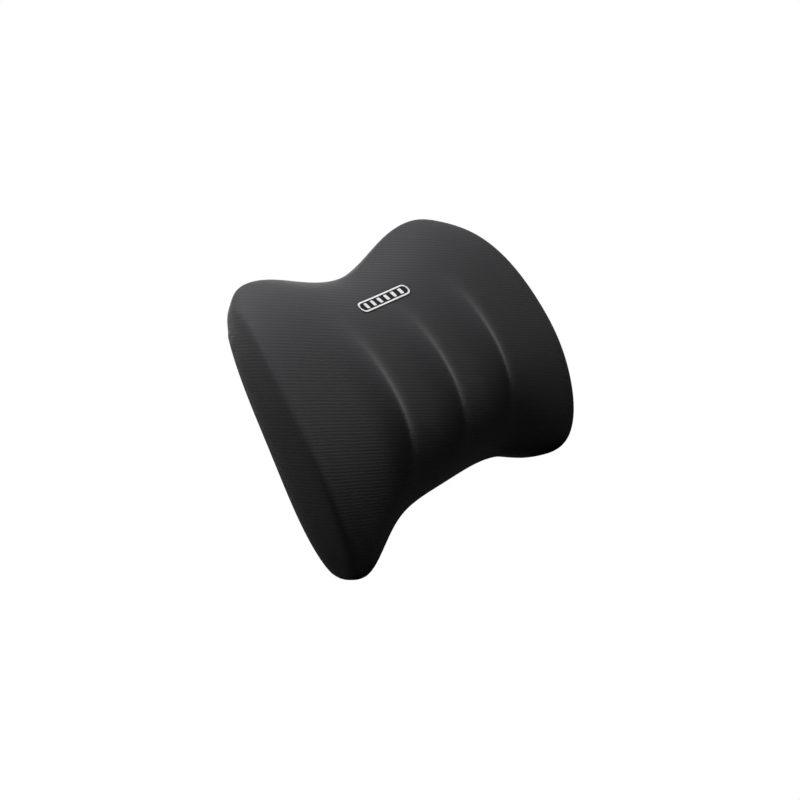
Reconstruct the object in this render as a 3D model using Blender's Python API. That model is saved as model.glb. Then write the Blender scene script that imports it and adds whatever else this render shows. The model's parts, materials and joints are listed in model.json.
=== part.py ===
"""Lumbar support cushion: a butterfly-shaped foam cushion in a zipped knit cover, with a buckled strap.

Units are metres. +Z is up, -Y faces the sitter and +Y faces the chair. The origin is under the middle of
the whole object, level with the bottom of its two wings.
"""

import math

import bmesh
import bpy
import numpy as np
from mathutils import Vector
from mathutils.bvhtree import BVHTree

# --- the cushion ---------------------------------------------------------------------------------------
BACK = 0.0434                 # y of the flat back
CENTRE_HEIGHT = 0.13956       # z of the cushion's middle, which the outline below is measured from
OUTLINE = [                   # control points of one half of the front outline, top middle to bottom middle
    (0.0000, 0.1369), (0.0570, 0.1522), (0.0983, 0.1717), (0.1554, 0.1741), (0.1824, 0.1391),
    (0.2054, 0.0725), (0.2127, -0.0069), (0.2122, -0.0764), (0.1986, -0.1401), (0.1592, -0.1426),
    (0.1011, -0.1084), (0.0516, -0.1029), (0.0000, -0.1042),
]
TOP_CORNER = 3.6              # where the outline turns from the top to the side, counted in control points
BOTTOM_CORNER = 8.2           # and from the side to the bottom
CROWN = 0.0876                # depth of the cushion at its middle, without the ribs
SIDE_DEPTH = 0.0920           # and at the middle of its two sides
# each pair: at the middle of the cushion's width, and at its corners
TOP_DEPTH = (0.0314, 0.0480)
BOTTOM_DEPTH = (0.0240, 0.0435)
TOP_FULLNESS = (2.30, 3.08)
BOTTOM_FULLNESS = (2.76, 1.66)
FLATTENING = 0.15             # how much of the middle height is flat, without a crease
# at the bottom middle, the lower corner, the side, the upper corner and the top middle
BACK_RELIEF = (0.0000, 0.0145, 0.0513, 0.0355, 0.0000)
RELIEF_RUN = 1.2              # how far in the back is relieved, for each millimetre of relief
RIB_SPACING = 0.0875
RIB_HEIGHT = 0.010
RIB_HALF_WIDTH = 0.024
RIB_HALF_LENGTH = 0.102
RIB_SHARPNESS = 2.2
BACK_EDGE = 0.008             # how far the back edge is rounded in
RIM_BAND = 0.012              # height of the band of facets below the rim
COLUMNS, ROWS = 30, 16        # facets across and up the front
BACK_RINGS = 3                # facets round the back edge

# --- layers, from the outside in -----------------------------------------------------------------------
COVER = 0.0015
GAP = 0.0010
LINER = 0.0008
LINER_DEPTH = COVER + 2 * GAP
FOAM_DEPTH = LINER_DEPTH + LINER + GAP
LINER_OPENING = 0.35          # size of the opening in the liner's back, as a part of its outline
PANEL_GAP = COVER + 0.0012    # from the cover's turned-in edge to the back panels
SEAM_GAP = 0.0004

# --- zip -----------------------------------------------------------------------------------------------
ZIP_Z = CENTRE_HEIGHT - 0.045
ZIP_HALF = 0.115
ZIP_SLOT_HALF = 0.0125        # half height of the slot in the back panels
TAPE_INNER, TAPE_OUTER = 0.0030, 0.0120
TAPE_Y = (-0.0002, 0.0004)    # from here on, y values in pairs are measured from the back
COIL_INNER, COIL_OUTER = 0.0006, 0.0026
COIL_Y = (-0.0005, 0.0011)
STOP_LENGTH = 0.004
SLIDER_LENGTH = 0.011
SLIDER_HALF_WIDTH = 0.0046
SLIDER_WEB = 0.00025          # half thickness of the web between the slider's plates
SLIDER_WEB_PART = 0.8         # and its length, as a part of theirs
SLIDER_LOW_Y = (-0.0016, -0.0009)
SLIDER_TOP_Y = (0.0015, 0.0026)
BRIDGE_HALF, BRIDGE_INNER = 0.0032, 0.0020
BRIDGE_HALF_WIDTH = 0.0012
BRIDGE_HOLE, BRIDGE_ROOF = 0.0019, 0.0009
PULL_LENGTH, PULL_HALF_WIDTH, PULL_THICK = 0.024, 0.0036, 0.0010
PULL_BAR, PULL_WINDOW = 0.0005, 0.0044
PULL_CORNER = 0.0014
PULL_AXIS_Y = SLIDER_TOP_Y[1] + BRIDGE_HOLE / 2

# --- strap and buckle ----------------------------------------------------------------------------------
STRAP_Z = CENTRE_HEIGHT + 0.030
STRAP_HALF_WIDTH = 0.0125
STRAP_THICK = 0.0014
STRAP_Y = 0.0025              # middle of the webbing above the back
STRAP_TAIL = 0.024            # length that is folded back over itself at the buckle
TAIL_DROP = 0.0006
LOOP_STEPS = 8
ANCHOR_X = 0.109              # middle of each sewn patch
ANCHOR_SIZE = (0.030, 0.032)
ANCHOR_Y = (0.0004, 0.0014)
BUCKLE_X = 0.030              # where the socket's mouth meets the plug
BUCKLE_Y = 0.0060
BUCKLE_HALF_WIDTH = 0.017
BUCKLE_HALF_THICK = 0.0048
PLATE = 0.0017
SOCKET_PLATES = (-0.029, 0.0)
SOCKET_BLOCK = (-0.034, -0.029)
SOCKET_BAR = (-0.0445, -0.0415)
PLUG_BASE = (0.0006, 0.0075)
PLUG_BAR = (0.0150, 0.0180)
BAR_HALF_THICK = 0.0015
RAIL = 0.003
PRONG_HALF_WIDTH = 0.0022
PRONG_TIP = -0.022
ARM_HINGE_X = 0.0
ARM_HINGE_Z = 0.0105
ARM_HALF_WIDTH = 0.0017
ARM_HALF_THICK = 0.0026
ARM_BARB = (-0.024, -0.010)
ARM_BARB_Z = 0.0166
ARM_TAPER = 0.006
ROUNDING, FINE_ROUNDING = 0.0006, 0.0004
FAR = 0.03                    # how far a cutting box reaches past its piece
ADJUSTER_X = -0.070
ADJUSTER_HALF_LENGTH = 0.011
ADJUSTER_HALF_WIDTH = 0.0165
ADJUSTER_RAIL = 0.003
ADJUSTER_LOW_Y = (0.0004, 0.0015)
ADJUSTER_TOP_Y = (0.0036, 0.0052)
ADJUSTER_BAR = 0.0035

# --- badge and label -----------------------------------------------------------------------------------
BADGE_X, BADGE_Z = -0.003, 0.098   # from the cushion's middle
BADGE_HALF_LENGTH, BADGE_HALF_HEIGHT = 0.041, 0.0074
BADGE_LIFT = 0.0014
BADGE_THICK = 0.0008
BADGE_RIM = 0.0013
BADGE_MARGIN = 0.0006         # from the edge of the patch to its rim
BADGE_CLEARANCE = 0.0005
BADGE_CUTS = 8                # facets along the badge
BADGE_MARK_HALF_LENGTH, BADGE_MARK_HALF_HEIGHT = 0.034, 0.0018
LABEL_SIZE = (0.030, 0.022)
LABEL_X = 0.092
LABEL_Y = (0.0004, 0.0007)
SMOOTH_ANGLE = math.radians(35)

COLOURS = {                   # colour, roughness, metallic
    "knit": ((0.020, 0.020, 0.022), 0.85, 0.0),
    "jersey": ((0.55, 0.55, 0.53), 0.90, 0.0),
    "foam": ((0.80, 0.78, 0.70), 0.95, 0.0),
    "webbing": ((0.018, 0.018, 0.020), 0.75, 0.0),
    "plastic": ((0.015, 0.015, 0.016), 0.40, 0.0),
    "metal": ((0.05, 0.05, 0.055), 0.35, 1.0),
    "white": ((0.80, 0.80, 0.80), 0.50, 0.0),
    "label": ((0.75, 0.75, 0.73), 0.80, 0.0),
}


def clear_scene():
    """Remove every object that is already in the file."""
    for old in list(bpy.data.objects):
        bpy.data.objects.remove(old, do_unlink=True)


def material(kind):
    """The Principled material of one kind, made once."""
    if kind in bpy.data.materials:
        return bpy.data.materials[kind]
    colour, roughness, metallic = COLOURS[kind]
    made = bpy.data.materials.new(kind)
    made.use_nodes = True
    shader = made.node_tree.nodes["Principled BSDF"]
    shader.inputs["Base Color"].default_value = (*colour, 1.0)
    shader.inputs["Roughness"].default_value = roughness
    shader.inputs["Metallic"].default_value = metallic
    return made


def finish(name, bm, kind, location=(0, 0, 0)):
    """Turn a bmesh into a named object with its material; its mesh is measured from location."""
    bmesh.ops.recalc_face_normals(bm, faces=bm.faces)
    mesh = bpy.data.meshes.new(name)
    bm.to_mesh(mesh)
    bm.free()
    piece = bpy.data.objects.new(name, mesh)
    bpy.context.collection.objects.link(piece)
    piece.location = location
    mesh.materials.append(material(kind))
    mesh.shade_smooth()
    mesh.set_sharp_from_angle(angle=SMOOTH_ANGLE)
    return piece


def add_box(bm, low, high):
    """A closed box between two corners."""
    size = Vector(high) - Vector(low)
    made = bmesh.ops.create_cube(bm, size=1)["verts"]
    bmesh.ops.scale(bm, vec=size, verts=made)
    bmesh.ops.translate(bm, vec=(Vector(high) + Vector(low)) / 2, verts=made)
    return made


def bevel(piece, width, segments=2):
    """Round the sharp edges of a piece."""
    rounding = piece.modifiers.new("rounding", "BEVEL")
    rounding.width = width
    rounding.segments = segments
    rounding.limit_method = "ANGLE"
    rounding.angle_limit = math.radians(50)


def combine(piece, low, high, operation):
    """Unite a piece with a box, or cut the box from it."""
    bm = bmesh.new()
    add_box(bm, low, high)
    tool = finish("tool", bm, "plastic", piece.location)
    step = piece.modifiers.new("step", "BOOLEAN")
    step.operation = operation
    step.solver = "EXACT"
    step.object = tool
    bpy.context.view_layer.update()
    evaluated = piece.evaluated_get(bpy.context.evaluated_depsgraph_get())
    mesh = bpy.data.meshes.new_from_object(evaluated)
    piece.modifiers.remove(step)
    piece.data = mesh
    bpy.data.objects.remove(tool, do_unlink=True)


# --- the cushion's form --------------------------------------------------------------------------------
def outline_point(t):
    """The point at t on the closed cubic B-spline through the outline and its mirror image."""
    right = OUTLINE
    left = [(-x, z) for x, z in OUTLINE[-2:0:-1]]
    points = np.array(right + left)
    start = math.floor(t)
    u = t - start
    before, here, after, beyond = (points[(start + k) % len(points)] for k in (-1, 0, 1, 2))
    return (
        (1 - u) ** 3 * before
        + (3 * u**3 - 6 * u**2 + 4) * here
        + (-3 * u**3 + 3 * u**2 + 3 * u + 1) * after
        + u**3 * beyond
    ) / 6


def angle_waves(angle):
    """Five waves that are level at the bottom and the top of the outline."""
    return np.array([1.0, math.sin(angle), math.cos(2 * angle), math.sin(3 * angle), math.cos(4 * angle)])


def around(values):
    """The strength of each wave that carries five values, 45 degrees apart from bottom to top."""
    rows = [angle_waves(math.radians(45 * k - 90)) for k in range(5)]
    return np.linalg.solve(np.array(rows), np.array(values))


RELIEF_WAVES = around(BACK_RELIEF)


def rib(x, z):
    """Height of the three upright ribs: steep on both flanks, fading at both ends."""
    along = abs(z) / RIB_HALF_LENGTH
    if along >= 1:
        return 0.0
    across = min(abs(x - k * RIB_SPACING) for k in (-1, 0, 1)) / RIB_HALF_WIDTH
    return RIB_HEIGHT * (1 - along**2) ** 2 * math.exp(-RIB_SHARPNESS * across**2)


def between(pair, side):
    """A value at the middle of the width, turning into another at the corners."""
    return pair[0] + (pair[1] - pair[0]) * side**2


def depth(across, up):
    """Depth of the cushion, from its flat back to its front, for across and up from -1 to 1."""
    side = abs(across)
    middle = between((CROWN, SIDE_DEPTH), side)
    edge = between(TOP_DEPTH if up > 0 else BOTTOM_DEPTH, side)
    power = between(TOP_FULLNESS if up > 0 else BOTTOM_FULLNESS, side)
    start, end = FLATTENING**power, (1 + FLATTENING**2) ** (power / 2)
    fall = ((up**2 + FLATTENING**2) ** (power / 2) - start) / (end - start)
    return middle - (middle - edge) * fall


def relief(x, z):
    """How far the back edge stands forward of the flat back, at a point of the outline plane."""
    return max(float(angle_waves(math.atan2(z, abs(x))) @ RELIEF_WAVES), 0.0)


def front_point(across, up):
    """Blend the four sides of the outline, for across and up from -1 to 1, and lift it to the front."""
    turns = 2 * (len(OUTLINE) - 1)
    half = turns / 2
    s, t = (math.sin(0.5 * math.pi * w) * 0.5 + 0.5 * w for w in (across, up))
    u, v = 0.5 + 0.5 * s, 0.5 + 0.5 * t
    top = outline_point(TOP_CORNER * s)
    bottom = outline_point(half - (half - BOTTOM_CORNER) * s)
    right = outline_point(BOTTOM_CORNER + (TOP_CORNER - BOTTOM_CORNER) * v)
    left = outline_point(-BOTTOM_CORNER - (TOP_CORNER - BOTTOM_CORNER) * v)
    corners = [outline_point(side * corner) for corner in (BOTTOM_CORNER, TOP_CORNER) for side in (-1, 1)]
    flat = (1 - v) * bottom + v * top + (1 - u) * left + u * right
    flat = flat - (1 - v) * ((1 - u) * corners[0] + u * corners[1])
    flat = flat - v * ((1 - u) * corners[2] + u * corners[3])
    x, z = flat
    return Vector((x, BACK - depth(s, t) - rib(x, z), z + CENTRE_HEIGHT))


def drawn_in(x, z, distance):
    """A point of the outline plane, drawn in towards the middle."""
    scale = 1 - distance / math.hypot(x, z)
    return x * scale, z * scale


def back_inset(x, z):
    """How far in from the outline the back becomes flat."""
    return BACK_EDGE + RELIEF_RUN * relief(x, z)


def next_ring(bm, edges):
    """Extrude a loop of edges once, and give the new loop's edges and vertices."""
    made = bmesh.ops.extrude_edge_only(bm, edges=edges)["geom"]
    verts = [g for g in made if isinstance(g, bmesh.types.BMVert)]
    ring = [g for g in made if isinstance(g, bmesh.types.BMEdge) and g.is_boundary]
    return ring, verts


def cushion_form():
    """The front and the side wall of the cushion, open at its back, and its last loop of edges."""
    bm = bmesh.new()
    bmesh.ops.create_grid(bm, x_segments=COLUMNS, y_segments=ROWS, size=1)
    for v in bm.verts:
        v.co = front_point(v.co.x, v.co.y)
    ring = [e for e in bm.edges if e.is_boundary]
    rim = list({v for e in ring for v in e.verts})
    ring, verts = next_ring(bm, ring)
    for v in verts:
        wall = BACK - BACK_EDGE - relief(v.co.x, v.co.z - CENTRE_HEIGHT) - v.co.y
        v.co.y += min(RIM_BAND, wall / 2)
    drawn = 0.0
    for k in range(BACK_RINGS + 1):
        angle = 0.5 * math.pi * k / BACK_RINGS
        inset, lift = 1 - math.cos(angle), 1 - math.sin(angle)
        ring, verts = next_ring(bm, ring)
        for v in verts:
            x, z = v.co.x, v.co.z - CENTRE_HEIGHT
            y = BACK - lift * (BACK_EDGE + relief(x, z))
            x, z = drawn_in(x, z, (inset - drawn) * back_inset(x, z))
            v.co = (x, y, z + CENTRE_HEIGHT)
        drawn = inset
    bmesh.ops.smooth_vert(bm, verts=rim, factor=0.5, use_axis_x=True, use_axis_y=True, use_axis_z=True)
    return bm, ring


def sink(bm, distance):
    """Move every face of a form inwards by the same distance."""
    bm.normal_update()
    moves = [(v, v.normal * v.calc_shell_factor() * distance) for v in bm.verts]
    for v, move in moves:
        v.co -= move


def shell(piece, thickness):
    """Give an open form its thickness, inwards."""
    skin = piece.modifiers.new("thickness", "SOLIDIFY")
    skin.thickness = thickness
    skin.offset = -1


def make_foam_core():
    """One block of moulded foam."""
    bm, ring = cushion_form()
    bmesh.ops.contextual_create(bm, geom=ring)
    bmesh.ops.recalc_face_normals(bm, faces=bm.faces)
    sink(bm, FOAM_DEPTH)
    return finish("foam_core", bm, "foam")


def make_inner_liner():
    """A jersey bag around the foam, open in the middle of its back."""
    bm, ring = cushion_form()
    cap = bmesh.ops.contextual_create(bm, geom=ring)["faces"]
    bmesh.ops.recalc_face_normals(bm, faces=bm.faces)
    sink(bm, LINER_DEPTH)
    rim = [e for e in cap[0].edges]
    bmesh.ops.delete(bm, geom=cap, context="FACES_ONLY")
    ring, verts = next_ring(bm, rim)
    for v in verts:
        v.co.x *= LINER_OPENING
        v.co.z = CENTRE_HEIGHT + (v.co.z - CENTRE_HEIGHT) * LINER_OPENING
    piece = finish("inner_liner", bm, "jersey")
    shell(piece, LINER)
    return piece


def make_cover_front():
    """The outer cover's front: a deep bowl of knit that wraps the side walls."""
    bm, ring = cushion_form()
    piece = finish("cover_front", bm, "knit")
    shell(piece, COVER)
    return piece


def panel_outline(count):
    """The outline of the flat back, inside the cover's turned-in edge."""
    turns = 2 * (len(OUTLINE) - 1)
    edge = [outline_point(turns * k / count) for k in range(count)]
    points = np.array([drawn_in(x, z, back_inset(x, z)) for x, z in edge])
    along = np.roll(points, -1, axis=0) - np.roll(points, 1, axis=0)
    along /= np.linalg.norm(along, axis=1)[:, None]
    inward = np.stack([along[:, 1], -along[:, 0]], axis=1)
    return points + inward * PANEL_GAP


def make_back_panel(name, side):
    """Half of the flat back, above (side 1) or below (side -1) the zip."""
    bm = bmesh.new()
    corners = [bm.verts.new((x, BACK, z + CENTRE_HEIGHT)) for x, z in panel_outline(72)]
    bm.faces.new(corners)
    bmesh.ops.bisect_plane(
        bm, geom=bm.verts[:] + bm.edges[:] + bm.faces[:], plane_co=(0, 0, ZIP_Z + side * SEAM_GAP / 2),
        plane_no=(0, 0, -side), clear_outer=True,
    )
    made = bmesh.ops.extrude_face_region(bm, geom=bm.faces[:])["geom"]
    bmesh.ops.translate(bm, vec=(0, -COVER, 0), verts=[g for g in made if isinstance(g, bmesh.types.BMVert)])
    piece = finish(name, bm, "knit")
    slot = ZIP_HALF + STOP_LENGTH + 0.0015
    low, high = ZIP_Z - ZIP_SLOT_HALF, ZIP_Z + ZIP_SLOT_HALF
    combine(piece, (-slot, BACK - FAR, low), (slot, BACK + FAR, high), "DIFFERENCE")
    return piece


# --- zip -----------------------------------------------------------------------------------------------
def zip_strip(name, side, inner, outer, y_range, half_length, kind):
    """A straight strip along the zip, on one side of its middle line."""
    bm = bmesh.new()
    low, high = sorted((ZIP_Z + side * inner, ZIP_Z + side * outer))
    add_box(bm, (-half_length, BACK + y_range[0], low), (half_length, BACK + y_range[1], high))
    return finish(name, bm, kind)


def make_zip_stop(name, x):
    """A metal clip across both coils at one end of the zip."""
    bm = bmesh.new()
    half, top = STOP_LENGTH / 2, COIL_Y[1] + 0.0003
    add_box(bm, (-half, COIL_Y[0], -COIL_OUTER), (half, top, COIL_OUTER))
    piece = finish(name, bm, "metal", (x, BACK, ZIP_Z))
    bevel(piece, FINE_ROUNDING)
    return piece


def make_zip_slider(x):
    """Slider body: two plates joined by a thin web, with a bridge on top that the pull hangs on."""
    half = SLIDER_LENGTH / 2
    bm = bmesh.new()
    add_box(bm, (-half, SLIDER_TOP_Y[0], -SLIDER_HALF_WIDTH), (half, SLIDER_TOP_Y[1], SLIDER_HALF_WIDTH))
    piece = finish("zip_slider", bm, "metal", (x, BACK, ZIP_Z))
    overlap, web, wide = 0.0002, SLIDER_WEB_PART * half, SLIDER_HALF_WIDTH
    low, high = SLIDER_LOW_Y[1] - overlap, SLIDER_TOP_Y[0] + overlap
    combine(piece, (-web, low, -SLIDER_WEB), (web, high, SLIDER_WEB), "UNION")
    combine(piece, (-half, SLIDER_LOW_Y[0], -wide), (half, SLIDER_LOW_Y[1], wide), "UNION")
    roof = SLIDER_TOP_Y[1] + BRIDGE_HOLE
    for side in (-1, 1):
        low, high = sorted((side * BRIDGE_INNER, side * BRIDGE_HALF))
        combine(piece, (low, SLIDER_TOP_Y[1] - overlap, -BRIDGE_HALF_WIDTH),
                (high, roof + overlap, BRIDGE_HALF_WIDTH), "UNION")
    combine(piece, (-BRIDGE_HALF, roof, -BRIDGE_HALF_WIDTH),
            (BRIDGE_HALF, roof + BRIDGE_ROOF, BRIDGE_HALF_WIDTH), "UNION")
    return piece


def make_zip_pull(x):
    """Flat pull tab whose crossbar passes under the slider's bridge; its origin is on that bar."""
    bm = bmesh.new()
    half = PULL_THICK / 2
    add_box(bm, (-PULL_LENGTH, -half, -PULL_HALF_WIDTH), (PULL_BAR, half, PULL_HALF_WIDTH))
    uprights = [e for e in bm.edges if abs(e.verts[0].co.y - e.verts[1].co.y) > half]
    bmesh.ops.bevel(bm, geom=uprights, offset=PULL_CORNER, segments=3, profile=0.5, affect="EDGES",
                     material=-1)
    piece = finish("zip_pull", bm, "metal", (x, BACK + PULL_AXIS_Y, ZIP_Z))
    window = BRIDGE_HALF_WIDTH + 0.0005
    combine(piece, (-PULL_WINDOW, -0.01, -window), (-PULL_BAR, 0.01, window), "DIFFERENCE")
    return piece


def make_zip():
    """Both halves of the zip, its stops, its slider and its pull."""
    for name, side in (("upper", 1), ("lower", -1)):
        tape_half = ZIP_HALF + STOP_LENGTH + 0.0005
        zip_strip("zip_tape_" + name, side, TAPE_INNER, TAPE_OUTER, TAPE_Y, tape_half, "webbing")
        zip_strip("zip_coil_" + name, side, COIL_INNER, COIL_OUTER, COIL_Y, ZIP_HALF, "plastic")
    stop_x = ZIP_HALF + STOP_LENGTH / 2 + 0.0003
    make_zip_stop("zip_stop_start", -stop_x)
    make_zip_stop("zip_stop_end", stop_x)
    slider_x = ZIP_HALF - SLIDER_LENGTH / 2 - 0.0005
    make_zip_slider(slider_x)
    make_zip_pull(slider_x)


# --- strap and buckle ----------------------------------------------------------------------------------
def make_webbing(name, path):
    """A flat strap along a path of x and y values, measured from the back."""
    bm = bmesh.new()
    low = STRAP_Z - STRAP_HALF_WIDTH
    verts = [bm.verts.new((x, BACK + y, low)) for x, y in path]
    edges = [bm.edges.new(pair) for pair in zip(verts, verts[1:])]
    made = bmesh.ops.extrude_edge_only(bm, edges=edges)["geom"]
    upper = [g for g in made if isinstance(g, bmesh.types.BMVert)]
    bmesh.ops.translate(bm, vec=(0, 0, 2 * STRAP_HALF_WIDTH), verts=upper)
    piece = finish(name, bm, "webbing")
    skin = piece.modifiers.new("thickness", "SOLIDIFY")
    skin.thickness = STRAP_THICK
    skin.offset = 0
    skin.use_even_offset = True
    return piece


def loop_path(anchor_x, bar_x, side):
    """A strap's path from its anchor, round a buckle bar and back over itself; side is +1 to the right."""
    turn = BAR_HALF_THICK * math.sqrt(2) + 0.0004 + STRAP_THICK / 2
    path = [(anchor_x, STRAP_Y), (bar_x + side * STRAP_TAIL / 2, STRAP_Y)]
    for k in range(LOOP_STEPS + 1):
        angle = math.pi * k / LOOP_STEPS
        path.append((bar_x - side * turn * math.sin(angle), BUCKLE_Y - turn * math.cos(angle)))
    path.append((bar_x + side * STRAP_TAIL / 2, BUCKLE_Y + TAIL_DROP))
    path.append((bar_x + side * STRAP_TAIL, BUCKLE_Y - TAIL_DROP))
    return path


def make_anchor(name, x):
    """The sewn patch under a strap's end."""
    bm = bmesh.new()
    half_x, half_z = ANCHOR_SIZE[0] / 2, ANCHOR_SIZE[1] / 2
    add_box(bm, (-half_x, ANCHOR_Y[0], -half_z), (half_x, ANCHOR_Y[1], half_z))
    piece = finish(name, bm, "webbing", (x, BACK, STRAP_Z))
    return piece


def frame_part(piece, block, bar, side):
    """Add two rails and a webbing bar to a buckle half, beyond its block on one side."""
    start = block[1] if side > 0 else block[0]
    near, far = sorted((start - side * 0.0005, bar[1] if side > 0 else bar[0]))
    for rail in (-1, 1):
        low, high = sorted((rail * (BUCKLE_HALF_WIDTH - RAIL), rail * BUCKLE_HALF_WIDTH))
        combine(piece, (near, -BAR_HALF_THICK, low), (far, BAR_HALF_THICK, high), "UNION")
    inner = BUCKLE_HALF_WIDTH - RAIL / 2
    combine(piece, (bar[0], -BAR_HALF_THICK, -inner), (bar[1], BAR_HALF_THICK, inner), "UNION")


def make_buckle_socket():
    """Female half: two plates joined at the closed end, open at both sides and at the mouth."""
    bm = bmesh.new()
    thick, wide = BUCKLE_HALF_THICK, BUCKLE_HALF_WIDTH
    add_box(bm, (SOCKET_BLOCK[0], -thick, -wide), (SOCKET_PLATES[1], thick, wide))
    piece = finish("buckle_socket", bm, "plastic", (BUCKLE_X, BACK + BUCKLE_Y, STRAP_Z))
    inside = thick - PLATE
    combine(piece, (SOCKET_PLATES[0], -inside, -FAR), (FAR, inside, FAR), "DIFFERENCE")
    frame_part(piece, SOCKET_BLOCK, SOCKET_BAR, -1)
    bevel(piece, ROUNDING)
    return piece


def make_buckle_plug():
    """Male half: its base, the centre prong and the webbing bar."""
    bm = bmesh.new()
    wide = BUCKLE_HALF_WIDTH
    add_box(bm, (PLUG_BASE[0], -BUCKLE_HALF_THICK, -wide), (PLUG_BASE[1], BUCKLE_HALF_THICK, wide))
    piece = finish("buckle_plug", bm, "plastic", (BUCKLE_X, BACK + BUCKLE_Y, STRAP_Z))
    combine(piece, (PRONG_TIP, -BAR_HALF_THICK, -PRONG_HALF_WIDTH),
            (PLUG_BASE[0] + 0.001, BAR_HALF_THICK, PRONG_HALF_WIDTH), "UNION")
    frame_part(piece, PLUG_BASE, PLUG_BAR, 1)
    bevel(piece, ROUNDING)
    return piece


def make_buckle_arm(name, side):
    """A spring arm of the plug with its barb; its origin is where it bends."""
    bm = bmesh.new()
    outer = side * ARM_HALF_WIDTH
    barb = side * (ARM_BARB_Z - ARM_HINGE_Z)
    profile = [
        (ARM_HINGE_X, -outer), (ARM_HINGE_X, outer), (ARM_BARB[1] + 0.0005, outer), (ARM_BARB[1], barb),
        (ARM_BARB[0] + ARM_TAPER, barb), (ARM_BARB[0], outer * 0.6), (ARM_BARB[0], -outer),
    ]
    verts = [bm.verts.new((x, -ARM_HALF_THICK, z)) for x, z in profile]
    face = bm.faces.new(verts)
    made = bmesh.ops.extrude_face_region(bm, geom=[face])["geom"]
    upper = [g for g in made if isinstance(g, bmesh.types.BMVert)]
    bmesh.ops.translate(bm, vec=(0, 2 * ARM_HALF_THICK, 0), verts=upper)
    piece = finish(name, bm, "plastic", (BUCKLE_X, BACK + BUCKLE_Y, STRAP_Z + side * ARM_HINGE_Z))
    bevel(piece, FINE_ROUNDING, 1)
    return piece


def make_strap_adjuster():
    """Three-bar slide: two bars under the webbing and one over it, joined by two rails."""
    length, wide = ADJUSTER_HALF_LENGTH, ADJUSTER_HALF_WIDTH
    bm = bmesh.new()
    add_box(bm, (-length, ADJUSTER_LOW_Y[0], -wide), (length, ADJUSTER_TOP_Y[1], wide))
    piece = finish("strap_adjuster", bm, "plastic", (ADJUSTER_X, BACK, STRAP_Z))
    inner = wide - ADJUSTER_RAIL
    combine(piece, (-FAR, ADJUSTER_LOW_Y[1], -inner), (FAR, ADJUSTER_TOP_Y[0], inner), "DIFFERENCE")
    window, past = length - ADJUSTER_BAR, 0.001
    combine(piece, (-window, -past, -inner), (window, ADJUSTER_LOW_Y[1] + past, inner), "DIFFERENCE")
    for side in (-1, 1):
        low, high = sorted((side * ADJUSTER_BAR / 2, side * (length + past)))
        combine(piece, (low, ADJUSTER_TOP_Y[0] - past, -inner), (high, FAR, inner), "DIFFERENCE")
    bevel(piece, FINE_ROUNDING, 1)
    return piece


def make_strap():
    """The webbing, its sewn anchors, the buckle and the adjuster."""
    end = ANCHOR_X + ANCHOR_SIZE[0] / 2 - 0.003
    make_anchor("anchor_patch_left", -ANCHOR_X)
    make_anchor("anchor_patch_right", ANCHOR_X)
    make_webbing("strap_left", loop_path(-end, BUCKLE_X + sum(SOCKET_BAR) / 2, -1))
    make_webbing("strap_right", loop_path(end, BUCKLE_X + sum(PLUG_BAR) / 2, 1))
    make_buckle_socket()
    make_buckle_plug()
    make_buckle_arm("buckle_arm_upper", 1)
    make_buckle_arm("buckle_arm_lower", -1)
    make_strap_adjuster()


# --- badge and label -----------------------------------------------------------------------------------
def capsule(half_length, half_height, steps=8):
    """Outline of a bar with round ends."""
    straight = half_length - half_height
    points = []
    for side in (1, -1):
        for k in range(steps + 1):
            angle = side * (math.pi / 2) - math.pi * k / steps
            points.append((side * straight + half_height * math.cos(angle), half_height * math.sin(angle)))
    return points


def front_surface():
    """The front, for finding points on it."""
    bm, ring = cushion_form()
    tree = BVHTree.FromBMesh(bm)
    bm.free()
    return tree


def on_front(tree, x, z, lift):
    """A point above the cushion's front, from its place in the outline plane."""
    place = tree.ray_cast(Vector((x, -BACK_EDGE - 2 * CROWN, z + CENTRE_HEIGHT)), Vector((0, 1, 0)))[0]
    return place - Vector((0, lift, 0))


def make_badge_plate(tree, name, half_length, half_height, lift, kind, hole=None):
    """A thin plate that follows the front, with round ends; hole leaves only a rim of that width."""
    bm = bmesh.new()
    verts = [bm.verts.new((x, 0, z)) for x, z in capsule(half_length, half_height)]
    face = bm.faces.new(verts)
    bm.normal_update()
    if hole:
        bmesh.ops.inset_individual(bm, faces=[face], thickness=hole, use_even_offset=True)
        bmesh.ops.delete(bm, geom=[face], context="FACES_ONLY")
    else:
        for k in range(1, BADGE_CUTS):
            cut = -half_length + 2 * half_length * k / BADGE_CUTS
            bmesh.ops.bisect_plane(bm, geom=bm.verts[:] + bm.edges[:] + bm.faces[:], plane_co=(cut, 0, 0),
                                   plane_no=(1, 0, 0))
    made = bmesh.ops.extrude_face_region(bm, geom=bm.faces[:])["geom"]
    top = {g for g in made if isinstance(g, bmesh.types.BMVert)}
    for v in bm.verts:
        height = lift + (BADGE_THICK if v in top else 0.0)
        v.co = on_front(tree, v.co.x + BADGE_X, v.co.z + BADGE_Z, height)
    return finish(name, bm, kind)


def make_badge():
    """A capsule patch with a raised rim and one plain bar."""
    tree = front_surface()
    make_badge_plate(tree, "badge_patch", BADGE_HALF_LENGTH, BADGE_HALF_HEIGHT, BADGE_LIFT, "plastic")
    top = BADGE_LIFT + BADGE_THICK + BADGE_CLEARANCE
    length, height = BADGE_HALF_LENGTH - BADGE_MARGIN, BADGE_HALF_HEIGHT - BADGE_MARGIN
    make_badge_plate(tree, "badge_rim", length, height, top, "white", hole=BADGE_RIM)
    make_badge_plate(tree, "badge_mark", BADGE_MARK_HALF_LENGTH, BADGE_MARK_HALF_HEIGHT, top, "white")


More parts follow.
